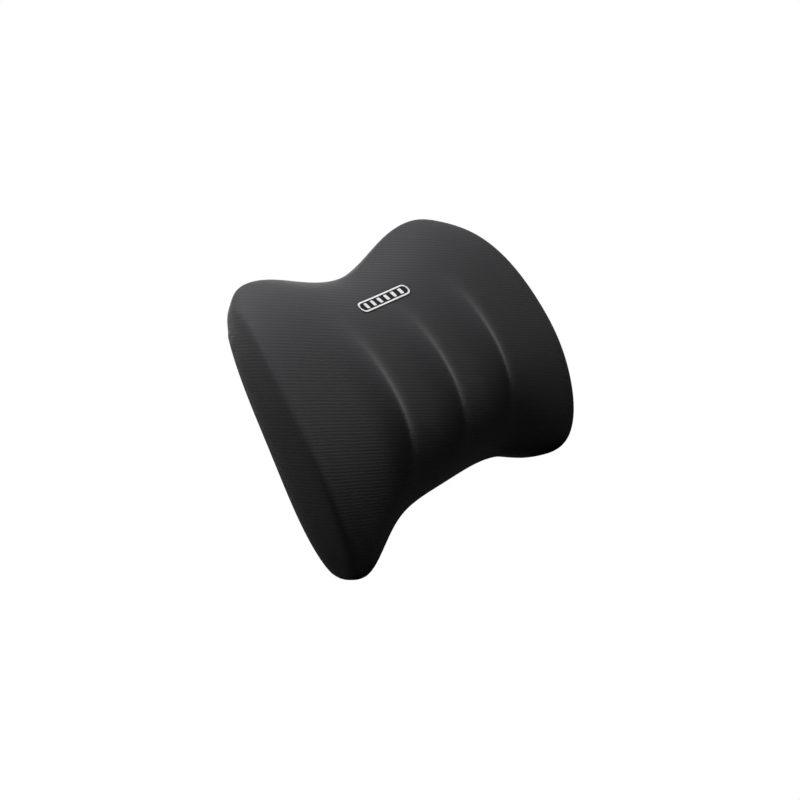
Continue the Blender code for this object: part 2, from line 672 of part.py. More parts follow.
def make_care_label():
    """A blank label on the upper back panel."""
    bm = bmesh.new()
    half_x, half_z = LABEL_SIZE[0] / 2, LABEL_SIZE[1] / 2
    add_box(bm, (-half_x, LABEL_Y[0], -half_z), (half_x, LABEL_Y[1], half_z))
    finish("care_label", bm, "label", (LABEL_X, BACK, ZIP_Z + ZIP_SLOT_HALF + half_z + 0.004))


def main():
    clear_scene()
    make_foam_core()
    make_inner_liner()
    make_cover_front()
    make_back_panel("cover_back_upper", 1)
    make_back_panel("cover_back_lower", -1)
    make_zip()
    make_strap()
    make_badge()
    make_care_label()


main()
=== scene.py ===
"""Lumbar support cushion: a knit-covered butterfly cushion with its zip, strap, buckle and badge.

Units are metres. +Z is up, -Y faces the sitter and +Y faces the chair.
"""

import json
import math

import bmesh
import bpy
import numpy as np
from bpy.props import FloatProperty, FloatVectorProperty, IntProperty, PointerProperty
from mathutils import Matrix, Vector, kdtree
from mathutils.bvhtree import BVHTree


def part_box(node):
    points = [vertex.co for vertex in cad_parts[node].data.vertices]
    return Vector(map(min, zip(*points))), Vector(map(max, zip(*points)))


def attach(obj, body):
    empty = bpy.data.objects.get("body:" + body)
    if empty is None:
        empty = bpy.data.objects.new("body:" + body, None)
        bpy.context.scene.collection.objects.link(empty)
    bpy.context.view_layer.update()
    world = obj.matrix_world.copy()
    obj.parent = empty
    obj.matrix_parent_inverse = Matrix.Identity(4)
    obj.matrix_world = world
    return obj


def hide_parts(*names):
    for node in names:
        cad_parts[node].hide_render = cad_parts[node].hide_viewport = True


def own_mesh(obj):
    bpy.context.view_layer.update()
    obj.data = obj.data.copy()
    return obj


bl_info = {
    "name": "Lumbar support cushion",
    "version": (1, 0, 0),
    "blender": (4, 5, 0),
    "location": "3D View > Sidebar > Lumbar cushion",
    "description": "Builds a butterfly-shaped lumbar cushion with its zipped knit cover, strap and buckle",
    "category": "Add Mesh",
}

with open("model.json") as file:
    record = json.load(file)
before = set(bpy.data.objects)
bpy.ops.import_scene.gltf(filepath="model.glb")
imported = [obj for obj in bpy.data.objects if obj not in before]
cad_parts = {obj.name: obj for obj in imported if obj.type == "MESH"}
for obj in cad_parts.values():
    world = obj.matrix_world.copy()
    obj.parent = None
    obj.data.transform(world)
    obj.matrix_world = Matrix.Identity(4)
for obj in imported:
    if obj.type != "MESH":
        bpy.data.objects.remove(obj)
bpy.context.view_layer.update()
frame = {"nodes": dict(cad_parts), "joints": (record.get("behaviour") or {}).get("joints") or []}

# --- the cushion's form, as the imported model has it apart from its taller, sharper ribs ------------------
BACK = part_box("cover_front")[1].y
CENTRE_HEIGHT = 0.13956
OUTLINE = [
    (0.0000, 0.1369), (0.0570, 0.1522), (0.0983, 0.1717), (0.1554, 0.1741), (0.1824, 0.1391),
    (0.2054, 0.0725), (0.2127, -0.0069), (0.2122, -0.0764), (0.1986, -0.1401), (0.1592, -0.1426),
    (0.1011, -0.1084), (0.0516, -0.1029), (0.0000, -0.1042),
]
TOP_CORNER = 3.6
BOTTOM_CORNER = 8.2
# each pair: at the middle of the cushion's width, and at its corners
SIDE_DEPTH = 0.0920
TOP_DEPTH = (0.0314, 0.0480)
BOTTOM_DEPTH = (0.0240, 0.0435)
TOP_FULLNESS = (2.30, 3.08)
BOTTOM_FULLNESS = (2.76, 1.66)
FLATTENING = 0.15                # how much of the middle height is flat, without a crease
# bottom middle, lower corner, side, upper corner, top middle
BACK_RELIEF = (0.0000, 0.0145, 0.0513, 0.0355, 0.0000)
RELIEF_RUN = 1.2
BACK_EDGE = 0.008
RIB_HALF_LENGTH = 0.102
RIB_STEEPNESS = 2.2              # how fast a rib falls away from its crest
RIB_SHARPNESS = 1.8              # below 2 the crest is a little pointed
COVER = 0.0015
PANEL_GAP = COVER + 0.0012
LINER = 0.0008
LINER_DEPTH = 0.0035
FOAM_DEPTH = 0.0053
LINER_OPENING = 0.35
TURN_IN = 0.0018                 # how far under the back panels the cover's turned-in edge lies
PANEL_THICK = 0.0012
PANEL_LEVEL = 0.0002             # the panels' middle, above the back
EDGE_LEVEL = -0.0013             # their edge, where it goes down to the cover
ROLL_LEVELS = (-0.0001, -0.0008, 0.0002)   # the rolled edge, from ring to ring
ROLL_WIDTH = 0.0016
SEAM_INSET = 0.0034              # from a panel's edge to its topstitching
SEAM_SINK = 0.0003
SEAM_WIDTH = 0.0006

# --- zip, strap and buckle -------------------------------------------------------------------------------
ZIP_Z = (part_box("zip_tape_upper")[0].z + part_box("zip_tape_lower")[1].z) / 2
ZIP_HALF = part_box("zip_coil_upper")[1].x
SLOT_HALF = 0.0125
STRAP_Z = (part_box("strap_left")[0].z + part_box("strap_left")[1].z) / 2
STRAP_HALF = (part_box("strap_left")[1].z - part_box("strap_left")[0].z) / 2
STRAP_THICK = 0.0014
STRAP_Y = 0.0025                 # middle of the webbing above the back
BUCKLE_Y = 0.0060                # middle of the buckle above the back
BAR_CORNER = 0.0015 * math.sqrt(2)
THREAD_COLOUR = (0.045, 0.045, 0.048)
LOOP_HEIGHT = 0.00105            # one loop of the knit, up and across
LOOP_WIDTH = 0.0013

# --- camera ----------------------------------------------------------------------------------------------
CAMERA_YAW, CAMERA_PITCH, CAMERA_ROLL = math.radians(-45.60), math.radians(-0.43), math.radians(28.52)
CAMERA_DISTANCE = 1.4332
CAMERA_TARGET = Vector((0.0, BACK - 0.040, CENTRE_HEIGHT))
CAMERA_SHIFT = (0.01059, 0.00944)   # how far right and up of the target the camera aims, in metres
CAMERA_LENS = 60.65


def camera_axes():
    """The camera's directions: back towards it, its right and its up."""
    yaw, pitch, roll = CAMERA_YAW, CAMERA_PITCH, CAMERA_ROLL
    back = Vector((math.sin(yaw) * math.cos(pitch), -math.cos(yaw) * math.cos(pitch), math.sin(pitch)))
    level = Vector((math.cos(yaw), math.sin(yaw), 0))
    upright = back.cross(level)
    right = math.cos(roll) * level - math.sin(roll) * upright
    up = math.sin(roll) * level + math.cos(roll) * upright
    return back, right, up


# --- settings --------------------------------------------------------------------------------------------
class CushionSettings(bpy.types.PropertyGroup):
    """Sizes and colours of the cushion and its knit cover."""

    crown: FloatProperty(name="Crown", description="Depth of the cushion at its middle, without the ribs",
                         default=0.0876, min=0.05, max=0.15, unit="LENGTH")
    rib_spacing: FloatProperty(name="Rib spacing", description="Distance between the upright ribs",
                               default=0.0875, min=0.05, max=0.12, unit="LENGTH")
    rib_height: FloatProperty(name="Rib height", description="How far the ribs stand up from the front",
                              default=0.0135, min=0.0, max=0.02, unit="LENGTH")
    rib_half_width: FloatProperty(
        name="Rib half width", description="From a rib's crest to the foot of its flank",
        default=0.024, min=0.008, max=0.04, unit="LENGTH")
    rim_softness: FloatProperty(name="Rim softness", description="How far the rounding of the rim reaches",
                                default=0.032, min=0.004, max=0.04, unit="LENGTH")
    knit_colour: FloatVectorProperty(name="Knit colour", description="Colour of the cover's knit",
                                     default=(0.040, 0.040, 0.043), min=0, max=1, subtype="COLOR")
    line_pitch: FloatProperty(name="Line pitch", description="Distance between the knit's raised lines",
                              default=0.0032, min=0.001, max=0.01, unit="LENGTH")


class ZipSettings(bpy.types.PropertyGroup):
    """Sizes and colours of the zip."""

    tooth_pitch: FloatProperty(name="Tooth pitch", description="Distance between the coil's turns",
                               default=0.0016, min=0.001, max=0.004, unit="LENGTH")
    tape_colour: FloatVectorProperty(name="Tape colour", description="Colour of the woven tape",
                                     default=(0.030, 0.030, 0.032), min=0, max=1, subtype="COLOR")
    metal_colour: FloatVectorProperty(
        name="Slider colour", description="Colour of the slider, pull and stops",
        default=(0.16, 0.16, 0.17), min=0, max=1, subtype="COLOR")


class StrapSettings(bpy.types.PropertyGroup):
    """Colours of the strap and its buckle."""

    webbing_colour: FloatVectorProperty(name="Webbing colour", description="Colour of the woven strap",
                                        default=(0.035, 0.035, 0.037), min=0, max=1, subtype="COLOR")
    plastic_colour: FloatVectorProperty(name="Plastic colour", description="Colour of the moulded buckle",
                                        default=(0.022, 0.022, 0.023), min=0, max=1, subtype="COLOR")
    stitch_length: FloatProperty(name="Stitch length", description="Length of one stitch in the seams",
                                 default=0.0026, min=0.001, max=0.006, unit="LENGTH")


class BadgeSettings(bpy.types.PropertyGroup):
    """Sizes and colours of the badge and the care label."""

    print_colour: FloatVectorProperty(name="Print colour", description="Colour of the badge's rim and marks",
                                      default=(0.86, 0.86, 0.86), min=0, max=1, subtype="COLOR")
    marks: IntProperty(name="Marks", description="Number of plain upright marks on the badge",
                       default=6, min=1, max=9)
    mark_width: FloatProperty(name="Mark width", description="Width of one mark",
                              default=0.0044, min=0.001, max=0.008, unit="LENGTH")
    label_colour: FloatVectorProperty(name="Label colour", description="Colour of the blank care label",
                                      default=(0.72, 0.72, 0.70), min=0, max=1, subtype="COLOR")


class StageSettings(bpy.types.PropertyGroup):
    """The floor and the lights."""

    floor_colour: FloatVectorProperty(name="Floor colour", description="Colour of the plain floor",
                                      default=(0.80, 0.80, 0.80), min=0, max=1, subtype="COLOR")
    key_power: FloatProperty(
        name="Key power", description="Power of the soft light above the cushion, in watts",
        default=6.4, min=0, max=100)
    side_power: FloatProperty(
        name="Side power", description="Power of the light above the near wing, in watts",
        default=1.1, min=0, max=100)
    fill_power: FloatProperty(
        name="Fill power", description="Power of the fill light on the lower left, in watts",
        default=1.3, min=0, max=100)
    rim_power: FloatProperty(
        name="Rim power", description="Power of the light on the far wing's edge, in watts",
        default=1.0, min=0, max=100)
    behind_power: FloatProperty(
        name="Behind power", description="Power of the light behind the cushion, in watts",
        default=30.0, min=0, max=200)


# --- shader expressions ----------------------------------------------------------------------------------
class Value:
    """A shader socket whose arithmetic adds Math nodes."""

    def __init__(self, finish, socket):
        self.finish, self.socket = finish, socket

    def math(self, operation, *values):
        sockets = dict(enumerate(values))
        return self.finish.node("ShaderNodeMath", {"operation": operation}, sockets)

    def __add__(self, other):
        return self.math("ADD", self, other)

    def __radd__(self, other):
        return self.math("ADD", other, self)

    def __sub__(self, other):
        return self.math("SUBTRACT", self, other)

    def __rsub__(self, other):
        return self.math("SUBTRACT", other, self)

    def __mul__(self, other):
        return self.math("MULTIPLY", self, other)

    def __rmul__(self, other):
        return self.math("MULTIPLY", other, self)

    def __pow__(self, other):
        return self.math("POWER", self, other)

    def sine(self):
        return self.math("SINE", self)


class Finish:
    """One material's nodes, round its Principled shader."""

    def __init__(self, name, **constants):
        self.material = bpy.data.materials.new(name)
        self.material.use_nodes = True
        self.tree = self.material.node_tree
        self.shader = self.tree.nodes["Principled BSDF"]
        for socket, value in constants.items():
            self.shader.inputs[socket.replace("_", " ")].default_value = value

    def node(self, kind, settings=None, sockets=None, out=0):
        """Add a node of any type: its settings first, then its sockets' values or links."""
        made = self.tree.nodes.new(kind)
        for name, value in (settings or {}).items():
            if name == "stops":
                ramp = made.color_ramp
                while len(ramp.elements) < len(value):
                    ramp.elements.new(0.5)
                for element, (position, colour) in zip(ramp.elements, value):
                    element.position, element.color = position, (*colour, 1.0)
            else:
                setattr(made, name, value)
        for name, value in (sockets or {}).items():
            if isinstance(value, Value):
                self.tree.links.new(value.socket, made.inputs[name])
            else:
                made.inputs[name].default_value = value
        return Value(self, made.outputs[out])

    def place(self):
        """Where a point is on the object, in metres."""
        return self.node("ShaderNodeTexCoord", out="Object")

    def cloth_place(self):
        """Where a point is along and across a strip, in metres."""
        return self.node("ShaderNodeUVMap", {"uv_map": "along"})

    def split(self, vector):
        """The three parts of a vector."""
        parts = self.node("ShaderNodeSeparateXYZ", None, {0: vector}).socket.node
        return [Value(self, output) for output in parts.outputs]

    def noise(self, place, scale, detail=2.0, roughness=0.5):
        return self.node("ShaderNodeTexNoise", None,
                         {"Vector": place, "Scale": scale, "Detail": detail, "Roughness": roughness})

    def mix(self, amount, low, high):
        """A colour between two others."""
        low, high = ((*c, 1.0) if isinstance(c, tuple) and len(c) == 3 else c for c in (low, high))
        return self.node("ShaderNodeMix", {"data_type": "RGBA"}, {0: amount, 6: low, 7: high}, out=2)

    def surface(self, **values):
        """Feed the shader's own sockets."""
        for name, value in values.items():
            self.tree.links.new(value.socket, self.shader.inputs[name.replace("_", " ")])

    def bump(self, height, distance, strength=1.0):
        """Raise the surface by a height from 0 to 1 times a distance in metres."""
        sockets = {"Height": height, "Distance": distance, "Strength": strength}
        made = self.node("ShaderNodeBump", None, sockets)
        self.tree.links.new(made.socket, self.shader.inputs["Normal"])


def shade(colour, amount):
    """A colour made lighter or darker."""
    return tuple(min(part * amount, 1.0) for part in colour)


def knit_cloth(name, colour, line_direction, pitch, contrast=0.17):
    """Stretch knit: fine loops under raised lines that run level across the cloth."""
    cloth = Finish(name, Sheen_Weight=0.20, Sheen_Roughness=0.45, Specular_IOR_Level=0.25)
    place = cloth.place()
    across = line_direction.orthogonal().normalized()
    along = line_direction.cross(across)
    height, side, depth = (
        cloth.node("ShaderNodeVectorMath", {"operation": "DOT_PRODUCT"}, {0: place, 1: axis}, out="Value")
        for axis in (line_direction, across, along)
    )
    drift = cloth.noise(place, 22.0)
    fuzz = cloth.noise(place, 900.0, detail=3.0)
    patches = cloth.noise(place, 9.0)
    lines = (height * (2 * math.pi / pitch) + drift * 3.0).sine() * 0.5 + 0.5
    loops = (height * (2 * math.pi / LOOP_HEIGHT)).sine() * (
        (side + depth) * (2 * math.pi / LOOP_WIDTH) + (height * (math.pi / LOOP_HEIGHT)).sine()
    ).sine()
    tone = lines * contrast + fuzz * 0.30 + patches * 0.22 + loops * 0.05 + (0.5 - 0.5 * contrast - 0.26)
    cloth.surface(Base_Color=cloth.mix(tone, shade(colour, 0.45), shade(colour, 1.55)),
                  Roughness=0.74 + fuzz * 0.2)
    cloth.bump(lines * 0.45 + loops * 0.18 + fuzz * 0.35, 0.00030, 0.7)
    return cloth.material


def foam_block_finish():
    """Open-cell foam: pale, with fine pores and a faint yellowing."""
    foam = Finish("foam", Subsurface_Weight=0.0, Specular_IOR_Level=0.2)
    place = foam.place()
    cells = foam.node("ShaderNodeTexVoronoi", None, {"Vector": place, "Scale": 700.0}, out="Distance")
    large = foam.noise(place, 12.0)
    pores = foam.noise(place, 260.0, detail=4.0)
    foam.surface(Base_Color=foam.mix(large * 0.6 + cells * 0.4, (0.86, 0.83, 0.72), (0.70, 0.64, 0.48)),
                 Roughness=0.88 + pores * 0.1)
    foam.bump(cells * 0.6 + pores * 0.4, 0.0006, 0.8)
    return foam.material


def jersey_finish():
    """Thin single jersey: columns of small loops."""
    jersey = Finish("jersey", Sheen_Weight=0.2, Specular_IOR_Level=0.2)
    place = jersey.place()
    x, _, z = jersey.split(place)
    fuzz = jersey.noise(place, 700.0)
    columns = (x * (2 * math.pi / 0.0014)).sine() * 0.5 + 0.5
    loops = (z * (2 * math.pi / 0.0011) + columns * 2.0).sine() * 0.5 + 0.5
    jersey.surface(Base_Color=jersey.mix(columns * 0.4 + loops * 0.3 + fuzz * 0.3, (0.44, 0.44, 0.42),
                                         (0.66, 0.66, 0.63)),
                   Roughness=0.8 + fuzz * 0.15)
    jersey.bump(columns * 0.5 + loops * 0.5, 0.0003, 0.6)
    return jersey.material


def woven_strip(name, colour, rib_pitch, cross_pitch, depth):
    """Webbing or tape: ribs along its length, crossed by the weft, placed by the strip's own UV map."""
    weave = Finish(name, Sheen_Weight=0.12, Specular_IOR_Level=0.3)
    place = weave.cloth_place()
    length, width = weave.split(place)[:2]
    fuzz = weave.noise(place, 900.0)
    ribs = (width * (2 * math.pi / rib_pitch)).sine()
    weft = (length * (2 * math.pi / cross_pitch) + (width * (math.pi / rib_pitch)).sine() * 1.5).sine()
    weft = weft * 0.5 + 0.5
    ribs = ribs * 0.5 + 0.5
    tone = ribs * 0.35 + weft * 0.35 + fuzz * 0.30
    weave.surface(Base_Color=weave.mix(tone, shade(colour, 0.40), shade(colour, 1.70)),
                  Roughness=0.62 + fuzz * 0.25)
    weave.bump(ribs * 0.5 + weft * 0.35 + fuzz * 0.15, depth, 0.8)
    return weave.material


def moulded_plastic(name, colour, roughness):
    """Moulded nylon: an even spark-eroded grain and faint flow marks."""
    plastic = Finish(name, Specular_IOR_Level=0.45)
    place = plastic.place()
    grain = plastic.noise(place, 2200.0, detail=2.0)
    flow = plastic.noise(place, 60.0)
    scuffs = plastic.noise(place, 380.0, detail=5.0, roughness=0.7)
    tone = flow * 0.6 + scuffs * 0.4
    plastic.surface(Base_Color=plastic.mix(tone, shade(colour, 0.75), shade(colour, 1.35)),
                    Roughness=roughness + scuffs * 0.14 + grain * 0.08)
    plastic.bump(grain, 0.00006, 0.7)
    return plastic.material


def blackened_metal(colour):
    """Zip metal: dark plating with fine brush marks and brighter worn spots."""
    metal = Finish("zip_metal", Metallic=1.0)
    place = metal.place()
    brushed = metal.noise(place, 1500.0, detail=3.0)
    worn = metal.noise(place, 420.0, detail=4.0, roughness=0.65)
    metal.surface(Base_Color=metal.mix(worn ** 2.0, shade(colour, 0.75), shade(colour, 1.9)),
                  Roughness=0.26 + brushed * 0.16 + worn * 0.1)
    metal.bump(brushed, 0.00003, 0.5)
    return metal.material


def printed_ink(name, colour):
    """Thick flexible ink: nearly flat, with the cloth's grain showing through."""
    ink = Finish(name, Specular_IOR_Level=0.35)
    place = ink.place()
    grain = ink.noise(place, 1100.0, detail=3.0)
    ink.surface(Base_Color=ink.mix(grain, shade(colour, 0.86), shade(colour, 1.0)),
                Roughness=0.42 + grain * 0.2)
    ink.bump(grain, 0.00008, 0.5)
    return ink.material


def twisted_thread(name, colour):
    """Sewing thread: two plies that show as slanted bands."""
    thread = Finish(name, Sheen_Weight=0.2, Specular_IOR_Level=0.35)
    place = thread.place()
    x, y, z = thread.split(place)
    plies = ((x + z + y) * (2 * math.pi / 0.0009)).sine() * 0.5 + 0.5
    fuzz = thread.noise(place, 2500.0)
    thread.surface(Base_Color=thread.mix(plies * 0.6 + fuzz * 0.4, shade(colour, 0.55), shade(colour, 1.5)),
                   Roughness=0.55 + fuzz * 0.2)
    thread.bump(plies, 0.0001, 0.6)
    return thread.material


# --- mesh helpers ----------------------------------------------------------------------------------------
def finish_piece(name, bm, material, body="cushion", node_names=(), smooth_angle=40, outward=True):
    """Turn a bmesh into a finished piece that rides on a body."""
    if outward:
        bmesh.ops.recalc_face_normals(bm, faces=bm.faces)
    mesh = bpy.data.meshes.new(name)
    bm.to_mesh(mesh)
    bm.free()
    mesh.materials.append(material)
    piece = bpy.data.objects.new(name, mesh)
    bpy.context.collection.objects.link(piece)
    mesh.shade_smooth()
    mesh.set_sharp_from_angle(angle=math.radians(smooth_angle))
    if node_names:
        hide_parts(*node_names)
    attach(piece, body)
    return piece


def wall(piece, thickness, offset=-1.0, even=False):
    """Give a thin piece its thickness."""
    skin = piece.modifiers.new("thickness", "SOLIDIFY")
    skin.thickness, skin.offset, skin.use_even_offset = thickness, offset, even


def soften(piece, width, segments=3, angle=40):
    """Round a piece's sharp edges."""
    rounding = piece.modifiers.new("rounding", "BEVEL")
    rounding.width, rounding.segments = width, segments
    rounding.limit_method, rounding.angle_limit = "ANGLE", math.radians(angle)


def only_verts(geometry):
    """The vertices among what an operator made."""
    return [g for g in geometry if isinstance(g, bmesh.types.BMVert)]


def cut_across(bm, place, across, clear=False):
    """Cut every face along a plane, and clear what lies beyond it if asked."""
    geometry = bm.verts[:] + bm.edges[:] + bm.faces[:]
    bmesh.ops.bisect_plane(bm, geom=geometry, plane_co=place, plane_no=across, clear_outer=clear)


def add_box(bm, low, high):
    """A closed box between two corners."""
    made = bmesh.ops.create_cube(bm, size=1)["verts"]
    bmesh.ops.scale(bm, vec=Vector(high) - Vector(low), verts=made)
    bmesh.ops.translate(bm, vec=(Vector(high) + Vector(low)) / 2, verts=made)
    return made


def add_plate(bm, outlines, low_y, high_y):
    """A flat plate between two y values: its closed outline of x and z values, then those of its holes."""
    edges = []
    for outline in outlines:
        corners = [bm.verts.new((x, low_y, z)) for x, z in outline]
        edges += [bm.edges.new((a, b)) for a, b in zip(corners, corners[1:] + corners[:1])]
    if len(outlines) > 1:
        filled = bmesh.ops.triangle_fill(bm, edges=edges, use_beauty=True)["geom"]
    else:
        filled = bmesh.ops.contextual_create(bm, geom=edges)["faces"]
    faces = [g for g in filled if isinstance(g, bmesh.types.BMFace)]
    made = bmesh.ops.extrude_face_region(bm, geom=faces)["geom"]
    bmesh.ops.translate(bm, vec=(0, high_y - low_y, 0), verts=only_verts(made))


def lay_uv(bm, place):
    """Write where each corner is along and across a strip, in metres."""
    layer = bm.loops.layers.uv.new("along")
    for face in bm.faces:
        for loop in face.loops:
            loop[layer].uv = place(loop.vert.co)


def capsule(half_length, half_height, middle, steps=12):
    """Outline of a bar with round ends, as x and z values."""
    points = []
    for side in (1, -1):
        for k in range(steps + 1):
            angle = side * math.pi / 2 - math.pi * k / steps
            points.append((side * (half_length - half_height) + half_height * math.cos(angle),
                           middle + half_height * math.sin(angle)))
    return points


def surface_tree(name):
    """The finished surface of a piece, for laying others on it."""
    return BVHTree.FromObject(bpy.data.objects[name], bpy.context.evaluated_depsgraph_get())


def seam_thread():
    """The sewing thread that every seam shares."""
    if "thread" not in bpy.data.materials:
        twisted_thread("thread", THREAD_COLOUR)
    return bpy.data.materials["thread"]


def frame_limit(joint):
    """How far a joint of the frame moves."""
    return next(j for j in frame["joints"] if j["name"] == joint)["range_m"][1]


def rounded(corners, radius, steps=4):
    """An outline with its corners rounded, as x and z values; a corner may carry its own radius."""
    points = []
    count = len(corners)
    for k, corner in enumerate(corners):
        here = Vector(corner[:2])
        size = corner[2] if len(corner) > 2 else radius
        before, after = Vector(corners[k - 1][:2]), Vector(corners[(k + 1) % count][:2])
        first, last = (here + (other - here).normalized() * size for other in (before, after))
        for step in range(steps + 1):
            t = step / steps
            points.append(tuple((1 - t) ** 2 * first + 2 * t * (1 - t) * here + t**2 * last))
    return points


def rounded_rectangle(left, right, bottom, top, radius, steps=4):
    """Outline of a rectangle with rounded corners, as x and z values."""
    return rounded([(left, bottom), (left, top), (right, top), (right, bottom)], radius, steps)


def add_stitches(bm, points, pitch, length, width):
    """A row of stitches along a path: small beads, flattened towards the back, that lie in the cloth."""
    path = [Vector(p) for p in points]
    steps = [(b - a).length for a, b in zip(path, path[1:])]
    total = sum(steps)
    count = max(int(total / pitch), 1)
    for k in range(count):
        distance = (k + 0.5) * total / count
        leg = 0
        while leg < len(steps) - 1 and distance > steps[leg]:
            distance -= steps[leg]
            leg += 1
        direction = (path[leg + 1] - path[leg]).normalized()
        centre = path[leg] + direction * distance
        up = Vector((0, 1, 0))
        side = direction.cross(up).normalized()
        turn = Matrix((direction, side, up)).transposed().to_4x4()
        made = bmesh.ops.create_icosphere(bm, subdivisions=1, radius=0.5)["verts"]
        bmesh.ops.scale(bm, vec=(length, width, width * 0.8), verts=made)
        bmesh.ops.transform(bm, matrix=Matrix.Translation(centre) @ turn, verts=made)


# --- the cushion's form ----------------------------------------------------------------------------------
CONTROL = np.array(OUTLINE + [(-x, z) for x, z in OUTLINE[-2:0:-1]])


def outline_point(t):
    """Points at t on the closed cubic B-spline through the outline and its mirror image."""
    t = np.asarray(t, float)
    start = np.floor(t).astype(int)
    u = (t - start)[..., None]
    before, here, after, beyond = (CONTROL[(start + k) % len(CONTROL)] for k in (-1, 0, 1, 2))
    return (
        (1 - u) ** 3 * before + (3 * u**3 - 6 * u**2 + 4) * here
        + (-3 * u**3 + 3 * u**2 + 3 * u + 1) * after + u**3 * beyond
    ) / 6


def angle_waves(angle):
    """Five waves that are level at the bottom and the top of the outline."""
    return np.stack([np.ones_like(angle), np.sin(angle), np.cos(2 * angle), np.sin(3 * angle),
                     np.cos(4 * angle)], axis=-1)


def around(values):
    """The strength of each wave that carries five values, 45 degrees apart from bottom to top."""
    return np.linalg.solve(angle_waves(np.radians(45.0 * np.arange(5) - 90)), np.array(values))


RELIEF_WAVES = around(BACK_RELIEF)


def rib(x, z, settings):
    """Height of the three upright ribs: steep on both flanks, fading at both ends."""
    along = np.clip(np.abs(z) / RIB_HALF_LENGTH, 0, 1)
    spacing = settings.rib_spacing
    across = np.min([np.abs(x - k * spacing) for k in (-1, 0, 1)], axis=0) / settings.rib_half_width
    return settings.rib_height * (1 - along**2) ** 2 * np.exp(-RIB_STEEPNESS * across**RIB_SHARPNESS)


def between(pair, side):
    """A value at the middle of the width, turning into another at the corners."""
    return pair[0] + (pair[1] - pair[0]) * side**2


def depth(across, up, settings):
    """Depth of the cushion, from its flat back to its front, for across and up from -1 to 1."""
    side = np.abs(across)
    middle = between((settings.crown, SIDE_DEPTH), side)
    edge = np.where(up > 0, between(TOP_DEPTH, side), between(BOTTOM_DEPTH, side))
    power = np.where(up > 0, between(TOP_FULLNESS, side), between(BOTTOM_FULLNESS, side))
    fall = (up**2 + FLATTENING**2) ** (power / 2) - FLATTENING**power
    return middle - (middle - edge) * fall / ((1 + FLATTENING**2) ** (power / 2) - FLATTENING**power)


def relief(x, z):
    """How far the back edge stands forward of the flat back, at points of the outline plane."""
    return np.maximum(angle_waves(np.arctan2(z, np.abs(x))) @ RELIEF_WAVES, 0.0)


def back_inset(x, z):
    """How far in from the outline the back becomes flat."""
    return BACK_EDGE + RELIEF_RUN * relief(x, z)


def drawn_in(x, z, distance):
    """Points of the outline plane, drawn in towards the middle."""
    scale = 1 - distance / np.hypot(x, z)
    return x * scale, z * scale


def front_points(across, up, settings):
    """Blend the four sides of the outline, for across and up from -1 to 1, and lift it to the front."""
    turns = 2 * (len(OUTLINE) - 1)
    half = turns / 2
    s, t = (0.5 * np.sin(0.5 * np.pi * w) + 0.5 * w for w in (across, up))
    u, v = (0.5 + 0.5 * w[:, None] for w in (s, t))
    top = outline_point(TOP_CORNER * s)
    bottom = outline_point(half - (half - BOTTOM_CORNER) * s)
    right = outline_point(BOTTOM_CORNER + (TOP_CORNER - BOTTOM_CORNER) * v[:, 0])
    left = outline_point(-BOTTOM_CORNER - (TOP_CORNER - BOTTOM_CORNER) * v[:, 0])
    corners = [outline_point(side * corner) for corner in (BOTTOM_CORNER, TOP_CORNER) for side in (-1, 1)]
    flat = (1 - v) * bottom + v * top + (1 - u) * left + u * right
    flat = flat - (1 - v) * ((1 - u) * corners[0] + u * corners[1])
    flat = flat - v * ((1 - u) * corners[2] + u * corners[3])
    x, z = flat[:, 0], flat[:, 1]
    y = BACK - depth(s, t, settings) - rib(x, z, settings)
    return np.stack([x, y, z + CENTRE_HEIGHT], axis=1)


def places(verts):
    """The coordinates of some vertices, one row each."""
    return np.array([v.co for v in verts], float).reshape(-1, 3)


def move_to(verts, coordinates):
    """Put vertices at new coordinates."""
    for v, co in zip(verts, coordinates):
        v.co = co


def next_ring(bm, edges):
    """Extrude a loop of edges once, and give the new loop's edges and vertices."""
    made = bmesh.ops.extrude_edge_only(bm, edges=edges)["geom"]
    return [g for g in made if isinstance(g, bmesh.types.BMEdge) and g.is_boundary], only_verts(made)


def cushion_form(settings, columns, rows, wall_rows, edge_rows):
    """The front, the side wall and the rounded back edge, open at the back, and its last loop of edges."""
    bm = bmesh.new()
    bmesh.ops.create_grid(bm, x_segments=columns, y_segments=rows, size=1)
    verts = list(bm.verts)
    grid = places(verts)
    move_to(verts, front_points(grid[:, 0], grid[:, 1], settings))
    ring = [e for e in bm.edges if e.is_boundary]
    rim = {v for e in ring for v in e.verts}
    for k in range(1, wall_rows + 1):
        share = 1 / (wall_rows + 1 - k)
        ring, verts = next_ring(bm, ring)
        here = places(verts)
        edge = BACK - BACK_EDGE - relief(here[:, 0], here[:, 2] - CENTRE_HEIGHT)
        here[:, 1] += share * (edge - here[:, 1])
        move_to(verts, here)
    drawn = 0.0
    for k in range(1, edge_rows + 1):
        angle = 0.5 * math.pi * k / edge_rows
        inset, lift = 1 - math.cos(angle), 1 - math.sin(angle)
        ring, verts = next_ring(bm, ring)
        here = places(verts)
        x, z = here[:, 0], here[:, 2] - CENTRE_HEIGHT
        here[:, 1] = BACK - lift * (BACK_EDGE + relief(x, z))
        x, z = drawn_in(x, z, (inset - drawn) * back_inset(x, z))
        here[:, 0], here[:, 2] = x, z + CENTRE_HEIGHT
        move_to(verts, here)
        drawn = inset
    round_rim(bm, rim, settings.rim_softness)
    return bm, ring


